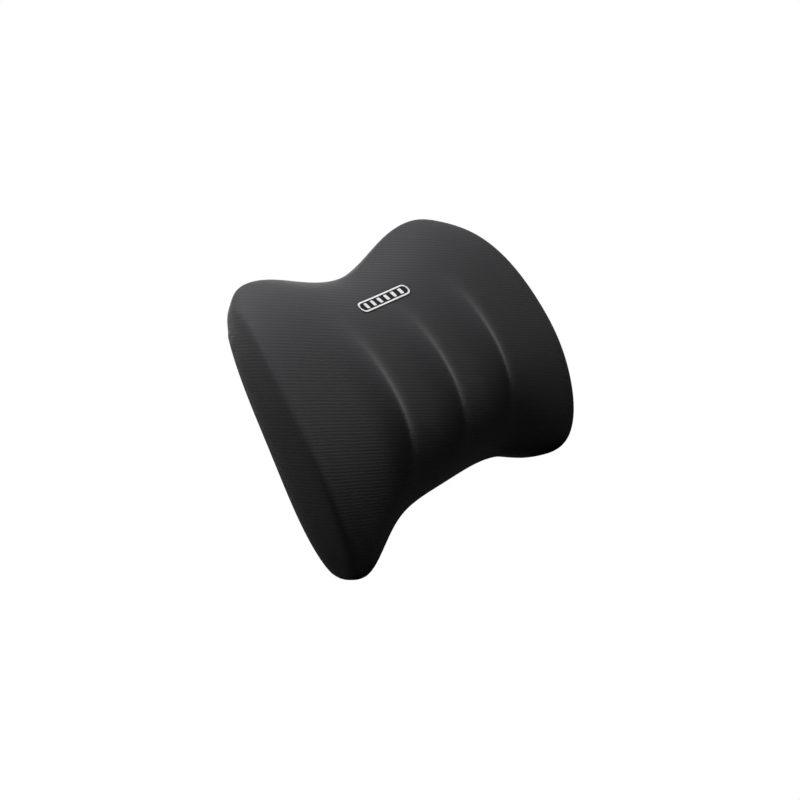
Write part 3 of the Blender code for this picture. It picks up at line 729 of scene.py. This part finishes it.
def round_rim(bm, rim, reach, passes=40):
    """Round the edge between the front and the side wall."""
    tree = kdtree.KDTree(len(rim))
    for k, v in enumerate(rim):
        tree.insert(v.co, k)
    tree.balance()
    near = [(v, tree.find(v.co)[2]) for v in bm.verts]
    for k in range(passes):
        inside = reach * (1 - 0.5 * k / passes)
        bmesh.ops.smooth_vert(bm, verts=[v for v, distance in near if distance < inside], factor=0.5,
                              use_axis_x=True, use_axis_y=True, use_axis_z=True)


def sink(bm, distance):
    """Move every face of a form inwards by the same distance."""
    bm.normal_update()
    moves = [(v, v.normal * distance) for v in bm.verts]
    for v, move in moves:
        v.co -= move


def panel_outline(count):
    """The outline of the flat back, inside the cover's turned-in edge."""
    turns = 2 * (len(OUTLINE) - 1)
    edge = outline_point(np.arange(count) * turns / count)
    points = np.stack(drawn_in(edge[:, 0], edge[:, 1], back_inset(edge[:, 0], edge[:, 1])), axis=1)
    along = np.roll(points, -1, axis=0) - np.roll(points, 1, axis=0)
    along /= np.linalg.norm(along, axis=1)[:, None]
    return points + np.stack([along[:, 1], -along[:, 0]], axis=1) * PANEL_GAP


# --- pieces ----------------------------------------------------------------------------------------------
class LUMBAR_OT_cushion_cover(bpy.types.Operator):
    """Knit cover: the front, the side wall and the edge that turns in under the back panels"""

    bl_idname = "lumbar.cushion_cover"
    bl_label = "Knit cover"

    def execute(self, context):
        settings = context.scene.lumbar_cushion
        back, right, up = camera_axes()
        cloth = knit_cloth("cover_knit", settings.knit_colour, up, settings.line_pitch)
        bm, ring = cushion_form(settings, 132, 84, 10, 8)
        for inward in (0.0024, 0.0090):
            ring, verts = next_ring(bm, ring)
            here = places(verts)
            x, z = drawn_in(here[:, 0], here[:, 2] - CENTRE_HEIGHT, inward)
            move_to(verts, np.stack([x, np.full_like(x, BACK - TURN_IN), z + CENTRE_HEIGHT], axis=1))
        cover = finish_piece("cushion_cover", bm, cloth, node_names=["cover_front"],
                             smooth_angle=60)
        wall(cover, COVER)
        return {"FINISHED"}


class LUMBAR_OT_foam_and_liner(bpy.types.Operator):
    """Foam core, and the jersey liner that is drawn tight round it"""

    bl_idname = "lumbar.foam_and_liner"
    bl_label = "Foam and liner"

    def execute(self, context):
        settings = context.scene.lumbar_cushion
        bm, ring = cushion_form(settings, 66, 42, 4, 4)
        bmesh.ops.contextual_create(bm, geom=ring)
        bmesh.ops.recalc_face_normals(bm, faces=bm.faces)
        sink(bm, FOAM_DEPTH)
        foam = finish_piece("foam_block", bm, foam_block_finish(), node_names=["foam_core"])
        bm, ring = cushion_form(settings, 66, 42, 4, 4)
        bmesh.ops.recalc_face_normals(bm, faces=bm.faces)
        sink(bm, LINER_DEPTH)
        last = 1.0
        for share in (0.92, 0.75, LINER_OPENING):
            ring, verts = next_ring(bm, ring)
            here = places(verts)
            reach = share / last
            here[:, 0] *= reach
            here[:, 2] = CENTRE_HEIGHT + (here[:, 2] - CENTRE_HEIGHT) * reach
            move_to(verts, here)
            last = share
        liner = finish_piece("liner_bag", bm, jersey_finish(), node_names=["inner_liner"],
                             smooth_angle=60)
        wall(liner, LINER)
        return {"FINISHED"}


class LUMBAR_OT_back_panels(bpy.types.Operator):
    """The two back panels, with their rolled edges and topstitching"""

    bl_idname = "lumbar.back_panels"
    bl_label = "Back panels"

    def execute(self, context):
        settings = context.scene.lumbar_cushion
        strap = context.scene.lumbar_strap
        cloth = knit_cloth("back_fabric", shade(settings.knit_colour, 0.85), Vector((0, 0, 1)), 0.0028, 0.30)
        slot = ZIP_HALF + 0.0055
        for name, side in (("upper", 1), ("lower", -1)):
            bm = bmesh.new()
            bm.faces.new([bm.verts.new((x, BACK, z + CENTRE_HEIGHT)) for x, z in panel_outline(180)])
            cut_across(bm, (0, 0, ZIP_Z + side * 0.0002), (0, 0, -side), clear=True)
            cut_across(bm, (0, 0, ZIP_Z + side * SLOT_HALF), (0, 0, 1))
            for x in (-slot, slot):
                cut_across(bm, (x, 0, 0), (1, 0, 0))
            gap = [f for f in bm.faces if abs(f.calc_center_median().x) < slot
                   and abs(f.calc_center_median().z - ZIP_Z) < SLOT_HALF]
            bmesh.ops.delete(bm, geom=gap, context="FACES")
            level = {v: EDGE_LEVEL for e in bm.edges if e.is_boundary for v in e.verts}
            for k, lift in enumerate(ROLL_LEVELS):
                before = set(bm.verts)
                inner = [f for f in bm.faces if not any(v in level for v in f.verts)]
                bmesh.ops.inset_region(bm, faces=inner if k and inner else bm.faces[:], thickness=ROLL_WIDTH,
                                       use_even_offset=True)
                for v in set(bm.verts) - before:
                    level[v] = lift
            for v in bm.verts:
                v.co.y = BACK + level.get(v, PANEL_LEVEL)
            panel = finish_piece("back_panel_" + name, bm, cloth,
                                 node_names=["cover_back_" + name], smooth_angle=50, outward=False)
            wall(panel, PANEL_THICK)
        self.stitches(strap)
        return {"FINISHED"}

    def stitches(self, strap):
        """Topstitching round the panels and beside the zip."""
        bm = bmesh.new()
        edge = panel_outline(360)
        centre = edge.mean(axis=0)
        path = edge + (centre - edge) / np.linalg.norm(centre - edge, axis=1)[:, None] * SEAM_INSET
        y = BACK - SEAM_SINK
        rows, run = [], []
        for x, z in [*path, path[0]]:
            if abs(z + CENTRE_HEIGHT - ZIP_Z) > 0.004:
                run.append((x, y, z + CENTRE_HEIGHT))
                continue
            rows.append(run)
            run = []
        rows = [row for row in (*rows, run) if len(row) > 2]
        for side in (-1, 1):
            z = ZIP_Z + side * (SLOT_HALF + 0.0033)
            rows.append([(-ZIP_HALF - 0.003, y, z), (ZIP_HALF + 0.003, y, z)])
        for row in rows:
            add_stitches(bm, row, strap.stitch_length * 1.35, strap.stitch_length, SEAM_WIDTH)
        finish_piece("back_topstitching", bm, seam_thread())


class LUMBAR_OT_zip(bpy.types.Operator):
    """Zip: woven tapes, coil teeth, slider and pull"""

    bl_idname = "lumbar.zip_fastener"
    bl_label = "Zip"

    def execute(self, context):
        settings = context.scene.lumbar_zip
        tape = woven_strip("zip_tape", settings.tape_colour, 0.0011, 0.0014, 0.0002)
        nylon = moulded_plastic("zip_coil", shade(settings.tape_colour, 0.8), 0.30)
        metal = blackened_metal(settings.metal_colour)
        for name, side in (("upper", 1), ("lower", -1)):
            self.tape(name, side, tape)
            self.teeth(name, side, nylon, settings)
        for name in ("zip_stop_start", "zip_stop_end"):
            stop = frame["nodes"][name]
            stop.data.materials.clear()
            stop.data.materials.append(metal)
        self.slider(metal)
        self.pull(metal)
        return {"FINISHED"}

    def tape(self, name, side, material):
        low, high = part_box("zip_tape_" + name)
        inner, outer = sorted((ZIP_Z + side * 0.0026, ZIP_Z + side * (SLOT_HALF - 0.0001)))
        bm = bmesh.new()
        add_box(bm, (low.x, BACK - 0.0002, inner), (high.x, BACK + 0.0003, outer))
        add_box(bm, (low.x + 0.001, BACK + 0.0003, ZIP_Z + side * 0.0058 - 0.0007),
                (high.x - 0.001, BACK + 0.0005, ZIP_Z + side * 0.0058 + 0.0007))
        inner, outer = sorted((ZIP_Z + side * 0.0003, ZIP_Z + side * (SLOT_HALF + 0.0040)))
        add_box(bm, (low.x - 0.003, BACK - 0.0027, inner), (high.x + 0.003, BACK - 0.0021, outer))
        lay_uv(bm, lambda co: (co.x, co.z))
        tape = finish_piece("tape_" + name, bm, material, node_names=["zip_tape_" + name])
        soften(tape, 0.00012, 2)
        bm = bmesh.new()
        z = ZIP_Z + side * 0.0088
        row = [(low.x, BACK + 0.0003, z), (high.x, BACK + 0.0003, z)]
        add_stitches(bm, row, 0.0028, 0.0021, 0.0005)
        finish_piece("tape_stitching_" + name, bm, seam_thread())

    def teeth(self, name, side, material, settings):
        """One rounded, slightly slanted turn of the coil for each tooth."""
        pitch = settings.tooth_pitch
        bm = bmesh.new()
        count = int(2 * ZIP_HALF / pitch)
        slant = Matrix.Rotation(side * math.radians(9), 4, "Y")
        for k in range(count):
            x = -ZIP_HALF + (k + 0.5 + (0.25 if side > 0 else -0.25)) * pitch
            tooth = add_box(bm, (-0.26 * pitch, -0.0006, -0.00105), (0.26 * pitch, 0.0006, 0.00105))
            place = Matrix.Translation((x, BACK + 0.00035, ZIP_Z + side * 0.00150))
            bmesh.ops.transform(bm, matrix=place @ slant, verts=tooth)
        bmesh.ops.bevel(bm, geom=bm.edges[:], offset=0.00022, segments=2, profile=0.5, affect="EDGES",
                        material=-1)
        finish_piece("coil_" + name, bm, material, node_names=["zip_coil_" + name],
                     smooth_angle=60)

    def slider(self, metal):
        low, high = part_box("zip_slider")
        x, half = (low.x + high.x) / 2, (high.x - low.x) / 2
        shield = [(-half, -0.0030), (half * 0.35, -0.0046), (half, -0.0036), (half, 0.0036),
                  (half * 0.35, 0.0046), (-half, 0.0030)]
        shield = [(x + a, ZIP_Z + b) for a, b in rounded(shield, 0.0012)]
        bm = bmesh.new()
        add_plate(bm, [shield], BACK + 0.0015, BACK + 0.0026)
        add_plate(bm, [shield], BACK - 0.0016, BACK - 0.0009)
        add_box(bm, (x + 0.0002, BACK - 0.0010, ZIP_Z - 0.00022),
                (x + half * 0.8, BACK + 0.0016, ZIP_Z + 0.00022))
        for side in (-1, 1):
            inner, outer = sorted((ZIP_Z + side * 0.0032, ZIP_Z + side * 0.0039))
            add_box(bm, (x - half * 0.5, BACK + 0.0007, inner), (x + half * 0.55, BACK + 0.0016, outer))
            post, far = sorted((x + side * 0.0020, x + side * 0.0033))
            add_box(bm, (post, BACK + 0.0025, ZIP_Z - 0.0012), (far, BACK + 0.0046, ZIP_Z + 0.0012))
        add_box(bm, (x - 0.0033, BACK + 0.0045, ZIP_Z - 0.0012), (x + 0.0033, high.y, ZIP_Z + 0.0012))
        slider = finish_piece("slider_body", bm, metal, "zip_slider", ["zip_slider"])
        soften(slider, 0.00028, 3)

    def pull(self, metal):
        low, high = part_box("zip_pull")
        middle, half = (low.y + high.y) / 2, (high.z - low.z) / 2
        z = ZIP_Z
        tab = rounded([(low.x, z - half * 0.8, 0.0024), (low.x, z + half * 0.8, 0.0024),
                       (low.x + 0.006, z + half, 0.003), (high.x, z + half, 0.0012),
                       (high.x, z - half, 0.0012),
                       (low.x + 0.006, z - half, 0.003)], 0.002)
        window = rounded_rectangle(high.x - 0.0049, high.x - 0.0010, z - 0.0019, z + 0.0019, 0.0005)
        hole = rounded_rectangle(low.x + 0.0020, low.x + 0.0048, z - 0.0014, z + 0.0014, 0.0013)
        bm = bmesh.new()
        add_plate(bm, [tab, window, hole], middle - 0.0005, middle + 0.0005)
        for k in range(5):
            at = low.x + 0.0072 + 0.0016 * k
            add_box(bm, (at, middle + 0.00045, z - half * 0.6),
                    (at + 0.0007, middle + 0.00075, z + half * 0.6))
        pull = finish_piece("pull_tab", bm, metal, "zip_pull", ["zip_pull"])
        soften(pull, 0.0002, 3)


class LUMBAR_OT_strap(bpy.types.Operator):
    """Webbing strap: both lengths, their sewn patches and the stitching"""

    bl_idname = "lumbar.strap"
    bl_label = "Strap"

    def execute(self, context):
        settings = context.scene.lumbar_strap
        webbing = woven_strip("webbing", settings.webbing_colour, 0.0016, 0.0022, 0.0003)
        for name, side, bar in (("left", -1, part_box("buckle_socket")[0].x + 0.0015),
                                ("right", 1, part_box("buckle_plug")[1].x - 0.0015)):
            self.patch(name, webbing)
            self.webbing(name, side, bar, webbing)
            self.stitching(name, side, settings)
        return {"FINISHED"}

    def patch(self, name, webbing):
        low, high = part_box("anchor_patch_" + name)
        bm = bmesh.new()
        outline = rounded_rectangle(low.x, high.x, low.z, high.z, 0.0025)
        add_plate(bm, [outline], low.y, high.y - 0.0001)
        lay_uv(bm, lambda co: (co.z, co.x))
        patch = finish_piece("sewn_patch_" + name, bm, webbing,
                             node_names=["anchor_patch_" + name])
        soften(patch, 0.0003, 3)

    def webbing(self, name, side, bar, webbing):
        """A strap from its patch, round the buckle's bar and back over itself."""
        low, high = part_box("strap_" + name)
        start = high.x if side > 0 else low.x
        turn = BAR_CORNER + (0.0013 if side > 0 else 0.0004) + STRAP_THICK / 2
        path = [(start, STRAP_Y), (start - side * 0.010, STRAP_Y), (bar + side * 0.020, STRAP_Y),
                (bar + side * 0.008, STRAP_Y + 0.0002)]
        path += [(bar - side * turn * math.sin(angle), BUCKLE_Y - turn * math.cos(angle))
                 for angle in (math.pi * k / 12 for k in range(13))]
        path += [(bar + side * 0.007, BUCKLE_Y + 0.0014), (bar + side * 0.012, BUCKLE_Y + 0.0006),
                 (bar + side * 0.018, BUCKLE_Y - 0.0002), (bar + side * 0.0235, BUCKLE_Y - 0.0006)]
        bm = bmesh.new()
        run = bm.verts.layers.float.new("run")
        verts = [bm.verts.new((x, BACK + y, STRAP_Z - STRAP_HALF)) for x, y in path]
        edges = [bm.edges.new(pair) for pair in zip(verts, verts[1:])]
        length = np.concatenate([[0], np.cumsum([e.calc_length() for e in edges])])
        for v, distance in zip(verts, length):
            v[run] = distance
        lines = 8
        for k in range(lines):
            made = bmesh.ops.extrude_edge_only(bm, edges=edges)["geom"]
            edges = [g for g in made if isinstance(g, bmesh.types.BMEdge)
                     and abs(g.verts[0].co.z - g.verts[1].co.z) < 1e-7]
            bmesh.ops.translate(bm, vec=(0, 0, 2 * STRAP_HALF / lines), verts=only_verts(made))
            level = STRAP_Z - STRAP_HALF * (1 - 2 * (k + 1) / lines)
            edges = [e for e in edges if all(abs(v.co.z - level) < 1e-5 for v in e.verts)]
        layer = bm.loops.layers.uv.new("along")
        for face in bm.faces:
            for loop in face.loops:
                loop[layer].uv = (loop.vert[run], loop.vert.co.z - STRAP_Z)
        strap = finish_piece("webbing_" + name, bm, webbing, node_names=["strap_" + name],
                             smooth_angle=60)
        wall(strap, STRAP_THICK, 0.0, True)
        soften(strap, 0.0004, 2, 50)
        if side > 0:
            keep = 1 - frame_limit("buckle_release") / (start - bar)
            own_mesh(strap)

    def stitching(self, name, side, settings):
        """A sewn box with its diagonals where the strap is held down."""
        low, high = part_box("anchor_patch_" + name)
        y = BACK + STRAP_Y + STRAP_THICK / 2
        x0, x1 = low.x + 0.005, high.x - 0.006
        if side < 0:
            x0, x1 = low.x + 0.006, high.x - 0.005
        z0, z1 = STRAP_Z - STRAP_HALF + 0.0028, STRAP_Z + STRAP_HALF - 0.0028
        corners = [(x0, y, z0), (x1, y, z0), (x1, y, z1), (x0, y, z1)]
        bm = bmesh.new()
        rows = [corners[0:2], corners[1:3], corners[2:4], [corners[3], corners[0]],
                [corners[0], corners[2]], [corners[1], corners[3]]]
        for row in rows:
            add_stitches(bm, row, settings.stitch_length * 1.25, settings.stitch_length, 0.0007)
        finish_piece("strap_stitching_" + name, bm, seam_thread())


class LUMBAR_OT_buckle(bpy.types.Operator):
    """Side-release buckle and the three-bar adjuster"""

    bl_idname = "lumbar.buckle"
    bl_label = "Buckle and adjuster"

    def execute(self, context):
        settings = context.scene.lumbar_strap
        nylon = moulded_plastic("buckle_nylon", settings.plastic_colour, 0.36)
        self.socket(nylon)
        self.plug(nylon)
        for name, side in (("upper", 1), ("lower", -1)):
            self.arm(name, side, nylon)
        self.adjuster(nylon)
        return {"FINISHED"}

    def bar_frame(self, bm, block, bar, middle, half):
        """Two rails and the rounded bar that the webbing turns round."""
        low, high = min(block, bar), max(block, bar)
        for side in (-1, 1):
            inner, outer = sorted((STRAP_Z + side * (half - 0.003), STRAP_Z + side * (half - 0.0002)))
            add_box(bm, (low, middle - 0.0014, inner), (high, middle + 0.0014, outer))
        near = min(bar, bar - math.copysign(0.003, bar - block))
        add_box(bm, (near, middle - 0.00145, STRAP_Z - half + 0.001), (near + 0.003, middle + 0.00145,
                                                                        STRAP_Z + half - 0.001))

    def socket(self, nylon):
        low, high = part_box("buckle_socket")
        middle, thick, half = (low.y + high.y) / 2, (high.y - low.y) / 2, (high.z - low.z) / 2
        mouth, closed = high.x, high.x - 0.034
        z = STRAP_Z
        side = [(closed, half * 0.94, 0.004), (closed + 0.008, half, 0.003),
                (mouth - 0.021, half * 0.90, 0.003), (mouth - 0.011, half * 0.90, 0.003),
                (mouth - 0.005, half, 0.002), (mouth, half, 0.0012)]
        outline = [(x, z + d, r) for x, d, r in side] + [(mouth - 0.0015, z, 0.006)]
        outline += [(x, z - d, r) for x, d, r in reversed(side)]
        bm = bmesh.new()
        for lower in (middle + thick - 0.0017, middle - thick):
            add_plate(bm, [rounded(outline, 0.002)], lower, lower + 0.0017)
        oval = rounded_rectangle(closed + 0.008, mouth - 0.009, z - 0.0065, z + 0.0065, 0.005, 6)
        small = rounded_rectangle(closed + 0.0095, mouth - 0.0105, z - 0.0050, z + 0.0050, 0.0042, 6)
        add_plate(bm, [oval, small], middle + thick - 0.0005, middle + thick + 0.0003)
        add_box(bm, (closed + 0.0004, middle - thick + 0.0005, z - half + 0.0016),
                (closed + 0.0050, middle + thick - 0.0005, z + half - 0.0016))
        for part in (-1, 1):
            inner, outer = sorted((z + part * 0.0032, z + part * 0.0042))
            add_box(bm, (closed + 0.004, middle - thick + 0.001, inner),
                    (mouth - 0.003, middle + thick - 0.001, outer))
        self.bar_frame(bm, closed + 0.001, low.x, middle, half)
        socket = finish_piece("buckle_female", bm, nylon, node_names=["buckle_socket"])
        soften(socket, 0.0006, 3)

    def plug(self, nylon):
        low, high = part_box("buckle_plug")
        middle, thick, half = (low.y + high.y) / 2, (high.y - low.y) / 2, (high.z - low.z) / 2
        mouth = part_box("buckle_socket")[1].x
        start, end, z = mouth + 0.0008, mouth + 0.0075, STRAP_Z
        bm = bmesh.new()
        outline = [(start, z - half, 0.0012), (start, z + half, 0.0012), (end, z + half * 0.96, 0.003),
                   (end, z - half * 0.96, 0.003)]
        add_plate(bm, [rounded(outline, 0.002)], middle - thick, middle + thick)
        prong = [(low.x, z - 0.0010, 0.0008), (low.x, z + 0.0010, 0.0008),
                 (low.x + 0.004, z + 0.0021, 0.001), (start + 0.001, z + 0.0021, 0.0003),
                 (start + 0.001, z - 0.0021, 0.0003), (low.x + 0.004, z - 0.0021, 0.001)]
        add_plate(bm, [rounded(prong, 0.001)], middle - 0.0015, middle + 0.0015)
        self.bar_frame(bm, end - 0.001, high.x, middle, half)
        plug = finish_piece("buckle_male", bm, nylon, "buckle_plug", ["buckle_plug"])
        soften(plug, 0.0006, 3)

    def arm(self, name, side, nylon):
        """A spring arm whose barb has three finger ridges."""
        low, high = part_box("buckle_arm_" + name)
        middle = (low.y + high.y) / 2
        near, far = (low.z, high.z) if side > 0 else (high.z, low.z)
        stem = near + side * 0.0034
        outline = [(high.x, near, 0.0006), (low.x, near, 0.0008), (low.x, near + side * 0.0026, 0.001),
                   (low.x + 0.006, far, 0.002), (low.x + 0.014, far, 0.001), (low.x + 0.0145, stem, 0.0008),
                   (high.x, stem, 0.0006)]
        bm = bmesh.new()
        add_plate(bm, [rounded(outline, 0.001)], low.y, high.y)
        for k in range(3):
            at = low.x + 0.0065 + 0.0024 * k
            inner, outer = sorted((far - side * 0.0006, far + side * 0.0004))
            add_box(bm, (at, middle - 0.0019, inner), (at + 0.0011, middle + 0.0019, outer))
        arm = finish_piece("spring_arm_" + name, bm, nylon, "buckle_arm_" + name,
                           ["buckle_arm_" + name])
        soften(arm, 0.0004, 3)

    def adjuster(self, nylon):
        low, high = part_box("strap_adjuster")
        x, half = (low.x + high.x) / 2, (high.x - low.x) / 2
        bm = bmesh.new()
        for side in (-1, 1):
            edge = high.z if side > 0 else low.z
            inner, outer = sorted((edge - side * 0.003, edge))
            rail = rounded_rectangle(low.x, high.x, inner, outer, 0.0012)
            add_plate(bm, [rail], low.y, high.y)
            end, inward = (high.x, high.x - 0.0035) if side > 0 else (low.x, low.x + 0.0035)
            first, last = sorted((end - side * 0.0002, inward))
            add_box(bm, (first, low.y + 0.0001, low.z + 0.002), (last, low.y + 0.0011, high.z - 0.002))
        add_box(bm, (x - 0.0018, high.y - 0.0016, low.z + 0.002),
                (x + 0.0018, high.y - 0.0002, high.z - 0.002))
        adjuster = finish_piece("adjuster_frame", bm, nylon, "strap_adjuster",
                                ["strap_adjuster"])
        soften(adjuster, 0.0004, 3)


class LUMBAR_OT_badge(bpy.types.Operator):
    """Capsule badge with a raised rim and a row of plain marks"""

    bl_idname = "lumbar.badge"
    bl_label = "Badge"

    def execute(self, context):
        settings = context.scene.lumbar_badge
        low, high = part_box("badge_patch")
        half_x, half_z, middle = (high.x - low.x) / 2, (high.z - low.z) / 2, (high.z + low.z) / 2
        centre = (high.x + low.x) / 2
        black = printed_ink("badge_black", (0.012, 0.012, 0.013))
        white = printed_ink("badge_print", settings.print_colour)
        tree = surface_tree("cushion_cover")
        self.plate("badge_plate", [capsule(half_x, half_z, middle)], -0.0004, 0.0005, black, "badge_black",
                   "badge_patch", tree, centre)
        rim = [capsule(half_x - inset, half_z - inset, middle) for inset in (0.0009, 0.0027)]
        self.plate("badge_outline", rim, 0.0004, 0.0009, white, "badge_white", "badge_rim", tree, centre)
        marks, pitch = [], (half_x - 0.007) * 2 / settings.marks
        half_mark, half_tall = settings.mark_width / 2, 0.0034
        for k in range(settings.marks):
            x = (k - (settings.marks - 1) / 2) * pitch
            marks.append(rounded_rectangle(x - half_mark, x + half_mark, middle - half_tall,
                                           middle + half_tall, 0.0008, 3))
        self.plate("badge_marks", marks, 0.0004, 0.0009, white, "badge_white", "badge_mark", tree, centre,
                   holes=False)
        return {"FINISHED"}

    def plate(self, name, outlines, low, high, ink, slot, node, tree, centre, holes=True):
        """A thin print that follows the cover."""
        bm = bmesh.new()
        for group in ([outlines] if holes else [[outline] for outline in outlines]):
            add_plate(bm, group, 0.0, high - low)
        reach = max(abs(v.co.x) for v in bm.verts)
        for k in range(1, 24):
            cut_across(bm, (-reach + 2 * reach * k / 24, 0, 0), (1, 0, 0))
        for v in bm.verts:
            v.co.x += centre
            hit = tree.ray_cast(Vector((v.co.x, BACK - 0.3, v.co.z)), Vector((0, 1, 0)))[0]
            v.co.y = hit.y - low - v.co.y
        finish_piece(name, bm, ink, node_names=[node], smooth_angle=50)


class LUMBAR_OT_care_label(bpy.types.Operator):
    """Blank care label, hemmed and sewn to the upper back panel"""

    bl_idname = "lumbar.care_label"
    bl_label = "Care label"

    def execute(self, context):
        colour = context.scene.lumbar_badge.label_colour
        satin = woven_strip("label_satin", colour, 0.0007, 0.0009, 0.00006)
        low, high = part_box("care_label")
        bm = bmesh.new()
        add_plate(bm, [rounded_rectangle(low.x, high.x, low.z, high.z, 0.0010)], low.y, high.y)
        for z in (low.z, high.z - 0.0022):
            add_box(bm, (low.x + 0.0003, high.y - 0.0001, z + 0.0002),
                    (high.x - 0.0003, high.y + 0.0002, z + 0.0020))
        lay_uv(bm, lambda co: (co.x, co.z))
        label = finish_piece("blank_label", bm, satin, node_names=["care_label"])
        soften(label, 0.0001, 2)
        bm = bmesh.new()
        for z in (low.z + 0.0011, high.z - 0.0011):
            row = [(low.x + 0.0008, high.y + 0.0002, z), (high.x - 0.0008, high.y + 0.0002, z)]
            add_stitches(bm, row, 0.0028, 0.0020, 0.0004)
        finish_piece("label_stitching", bm, twisted_thread("label_thread", (0.6, 0.6, 0.58)))
        return {"FINISHED"}


class LUMBAR_OT_stage(bpy.types.Operator):
    """Floor, soft studio lights and camera"""

    bl_idname = "lumbar.stage"
    bl_label = "Stage"

    def execute(self, context):
        settings = context.scene.lumbar_stage
        back, right, up = camera_axes()
        bm = bmesh.new()
        bmesh.ops.create_circle(bm, cap_ends=True, segments=64, radius=6.0)
        mesh = bpy.data.meshes.new("floor")
        bm.to_mesh(mesh)
        bm.free()
        floor = bpy.data.objects.new("floor", mesh)
        bpy.context.collection.objects.link(floor)
        mesh.materials.append(self.floor_finish(settings.floor_colour))
        self.white_world()
        aim = CAMERA_TARGET
        for name, place, size, power in (
            ("key", aim - right * 0.14 + up * 0.86 + back * 0.20, 0.45, settings.key_power),
            ("side", aim - right * 0.26 + up * 0.36 + back * 0.36, 0.30, settings.side_power),
            ("fill", aim - right * 0.9 + up * 0.25 + back * 0.35, 0.5, settings.fill_power),
            ("rim", aim + right * 0.5 + up * 0.45 - back * 0.8, 0.4, settings.rim_power),
            ("behind", aim + Vector((1.3, 1.1, 0.5)), 1.0, settings.behind_power),
        ):
            light = bpy.data.lights.new(name, "AREA")
            light.shape, light.size, light.energy = "DISK", size, power
            lamp = bpy.data.objects.new(name, light)
            bpy.context.collection.objects.link(lamp)
            lamp.location = place
            lamp.rotation_euler = (place - aim).to_track_quat("Z", "Y").to_euler()
        self.camera(back, right, up)
        context.scene.view_settings.view_transform = "Standard"
        return {"FINISHED"}

    def camera(self, back, right, up):
        """Look along the cushion's left wing, tilted as it is held."""
        lens = bpy.data.cameras.new("camera")
        lens.lens, lens.sensor_width = CAMERA_LENS, 36.0
        eye = bpy.data.objects.new("camera", lens)
        bpy.context.collection.objects.link(eye)
        turn = Matrix((right, up, back)).transposed().to_4x4()
        centre = CAMERA_TARGET - right * CAMERA_SHIFT[0] - up * CAMERA_SHIFT[1] + back * CAMERA_DISTANCE
        eye.matrix_world = Matrix.Translation(centre) @ turn
        bpy.context.scene.camera = eye

    def floor_finish(self, colour):
        """A plain pale floor that stays light round the object."""
        paint = Finish("floor", Roughness=0.9)
        seen = paint.node("ShaderNodeLightPath", out="Is Camera Ray")
        glow = paint.node("ShaderNodeEmission", None, {"Color": (1.0, 1.0, 1.0, 1.0), "Strength": 1.0})
        dull = paint.node("ShaderNodeBsdfDiffuse", None, {"Color": (*shade(colour, 0.12), 1.0)})
        both = paint.node("ShaderNodeMixShader", None, {0: seen, 1: dull, 2: glow})
        output = paint.tree.nodes["Material Output"]
        paint.tree.links.new(both.socket, output.inputs["Surface"])
        return paint.material

    def white_world(self):
        """A white surround that lights the object only a little."""
        world = bpy.data.worlds.new("surround")
        world.use_nodes = True
        bpy.context.scene.world = world
        tree = world.node_tree
        seen = tree.nodes.new("ShaderNodeLightPath")
        dim = tree.nodes["Background"]
        dim.inputs["Color"].default_value = (1.0, 1.0, 1.0, 1.0)
        dim.inputs["Strength"].default_value = 0.01
        white = tree.nodes.new("ShaderNodeBackground")
        white.inputs["Color"].default_value = (1.0, 1.0, 1.0, 1.0)
        mix = tree.nodes.new("ShaderNodeMixShader")
        tree.links.new(seen.outputs["Is Camera Ray"], mix.inputs[0])
        tree.links.new(dim.outputs[0], mix.inputs[1])
        tree.links.new(white.outputs[0], mix.inputs[2])
        tree.links.new(mix.outputs[0], tree.nodes["World Output"].inputs["Surface"])


class LUMBAR_PT_pieces(bpy.types.Panel):
    """Lists every piece of the cushion"""

    bl_idname = "LUMBAR_PT_pieces"
    bl_label = "Lumbar cushion"
    bl_space_type = "VIEW_3D"
    bl_region_type = "UI"
    bl_category = "Lumbar cushion"

    def draw(self, context):
        for group in SETTINGS:
            box = self.layout.box()
            for name in SETTINGS[group].__annotations__:
                box.prop(getattr(context.scene, group), name)
        for operator in OPERATORS:
            self.layout.operator(operator.bl_idname)


SETTINGS = {
    "lumbar_cushion": CushionSettings,
    "lumbar_zip": ZipSettings,
    "lumbar_strap": StrapSettings,
    "lumbar_badge": BadgeSettings,
    "lumbar_stage": StageSettings,
}
OPERATORS = (
    LUMBAR_OT_cushion_cover,
    LUMBAR_OT_foam_and_liner,
    LUMBAR_OT_back_panels,
    LUMBAR_OT_zip,
    LUMBAR_OT_strap,
    LUMBAR_OT_buckle,
    LUMBAR_OT_badge,
    LUMBAR_OT_care_label,
    LUMBAR_OT_stage,
)
CLASSES = (*SETTINGS.values(), *OPERATORS, LUMBAR_PT_pieces)


def register():
    for cls in CLASSES:
        bpy.utils.register_class(cls)
    for name, group in SETTINGS.items():
        setattr(bpy.types.Scene, name, PointerProperty(type=group))


def unregister():
    for name in SETTINGS:
        delattr(bpy.types.Scene, name)
    for cls in reversed(CLASSES):
        bpy.utils.unregister_class(cls)


def main():
    """Build every piece in order."""
    register()
    for operator in OPERATORS:
        group, name = operator.bl_idname.split(".")
        getattr(getattr(bpy.ops, group), name)()


if __name__ == "__main__":
    main()
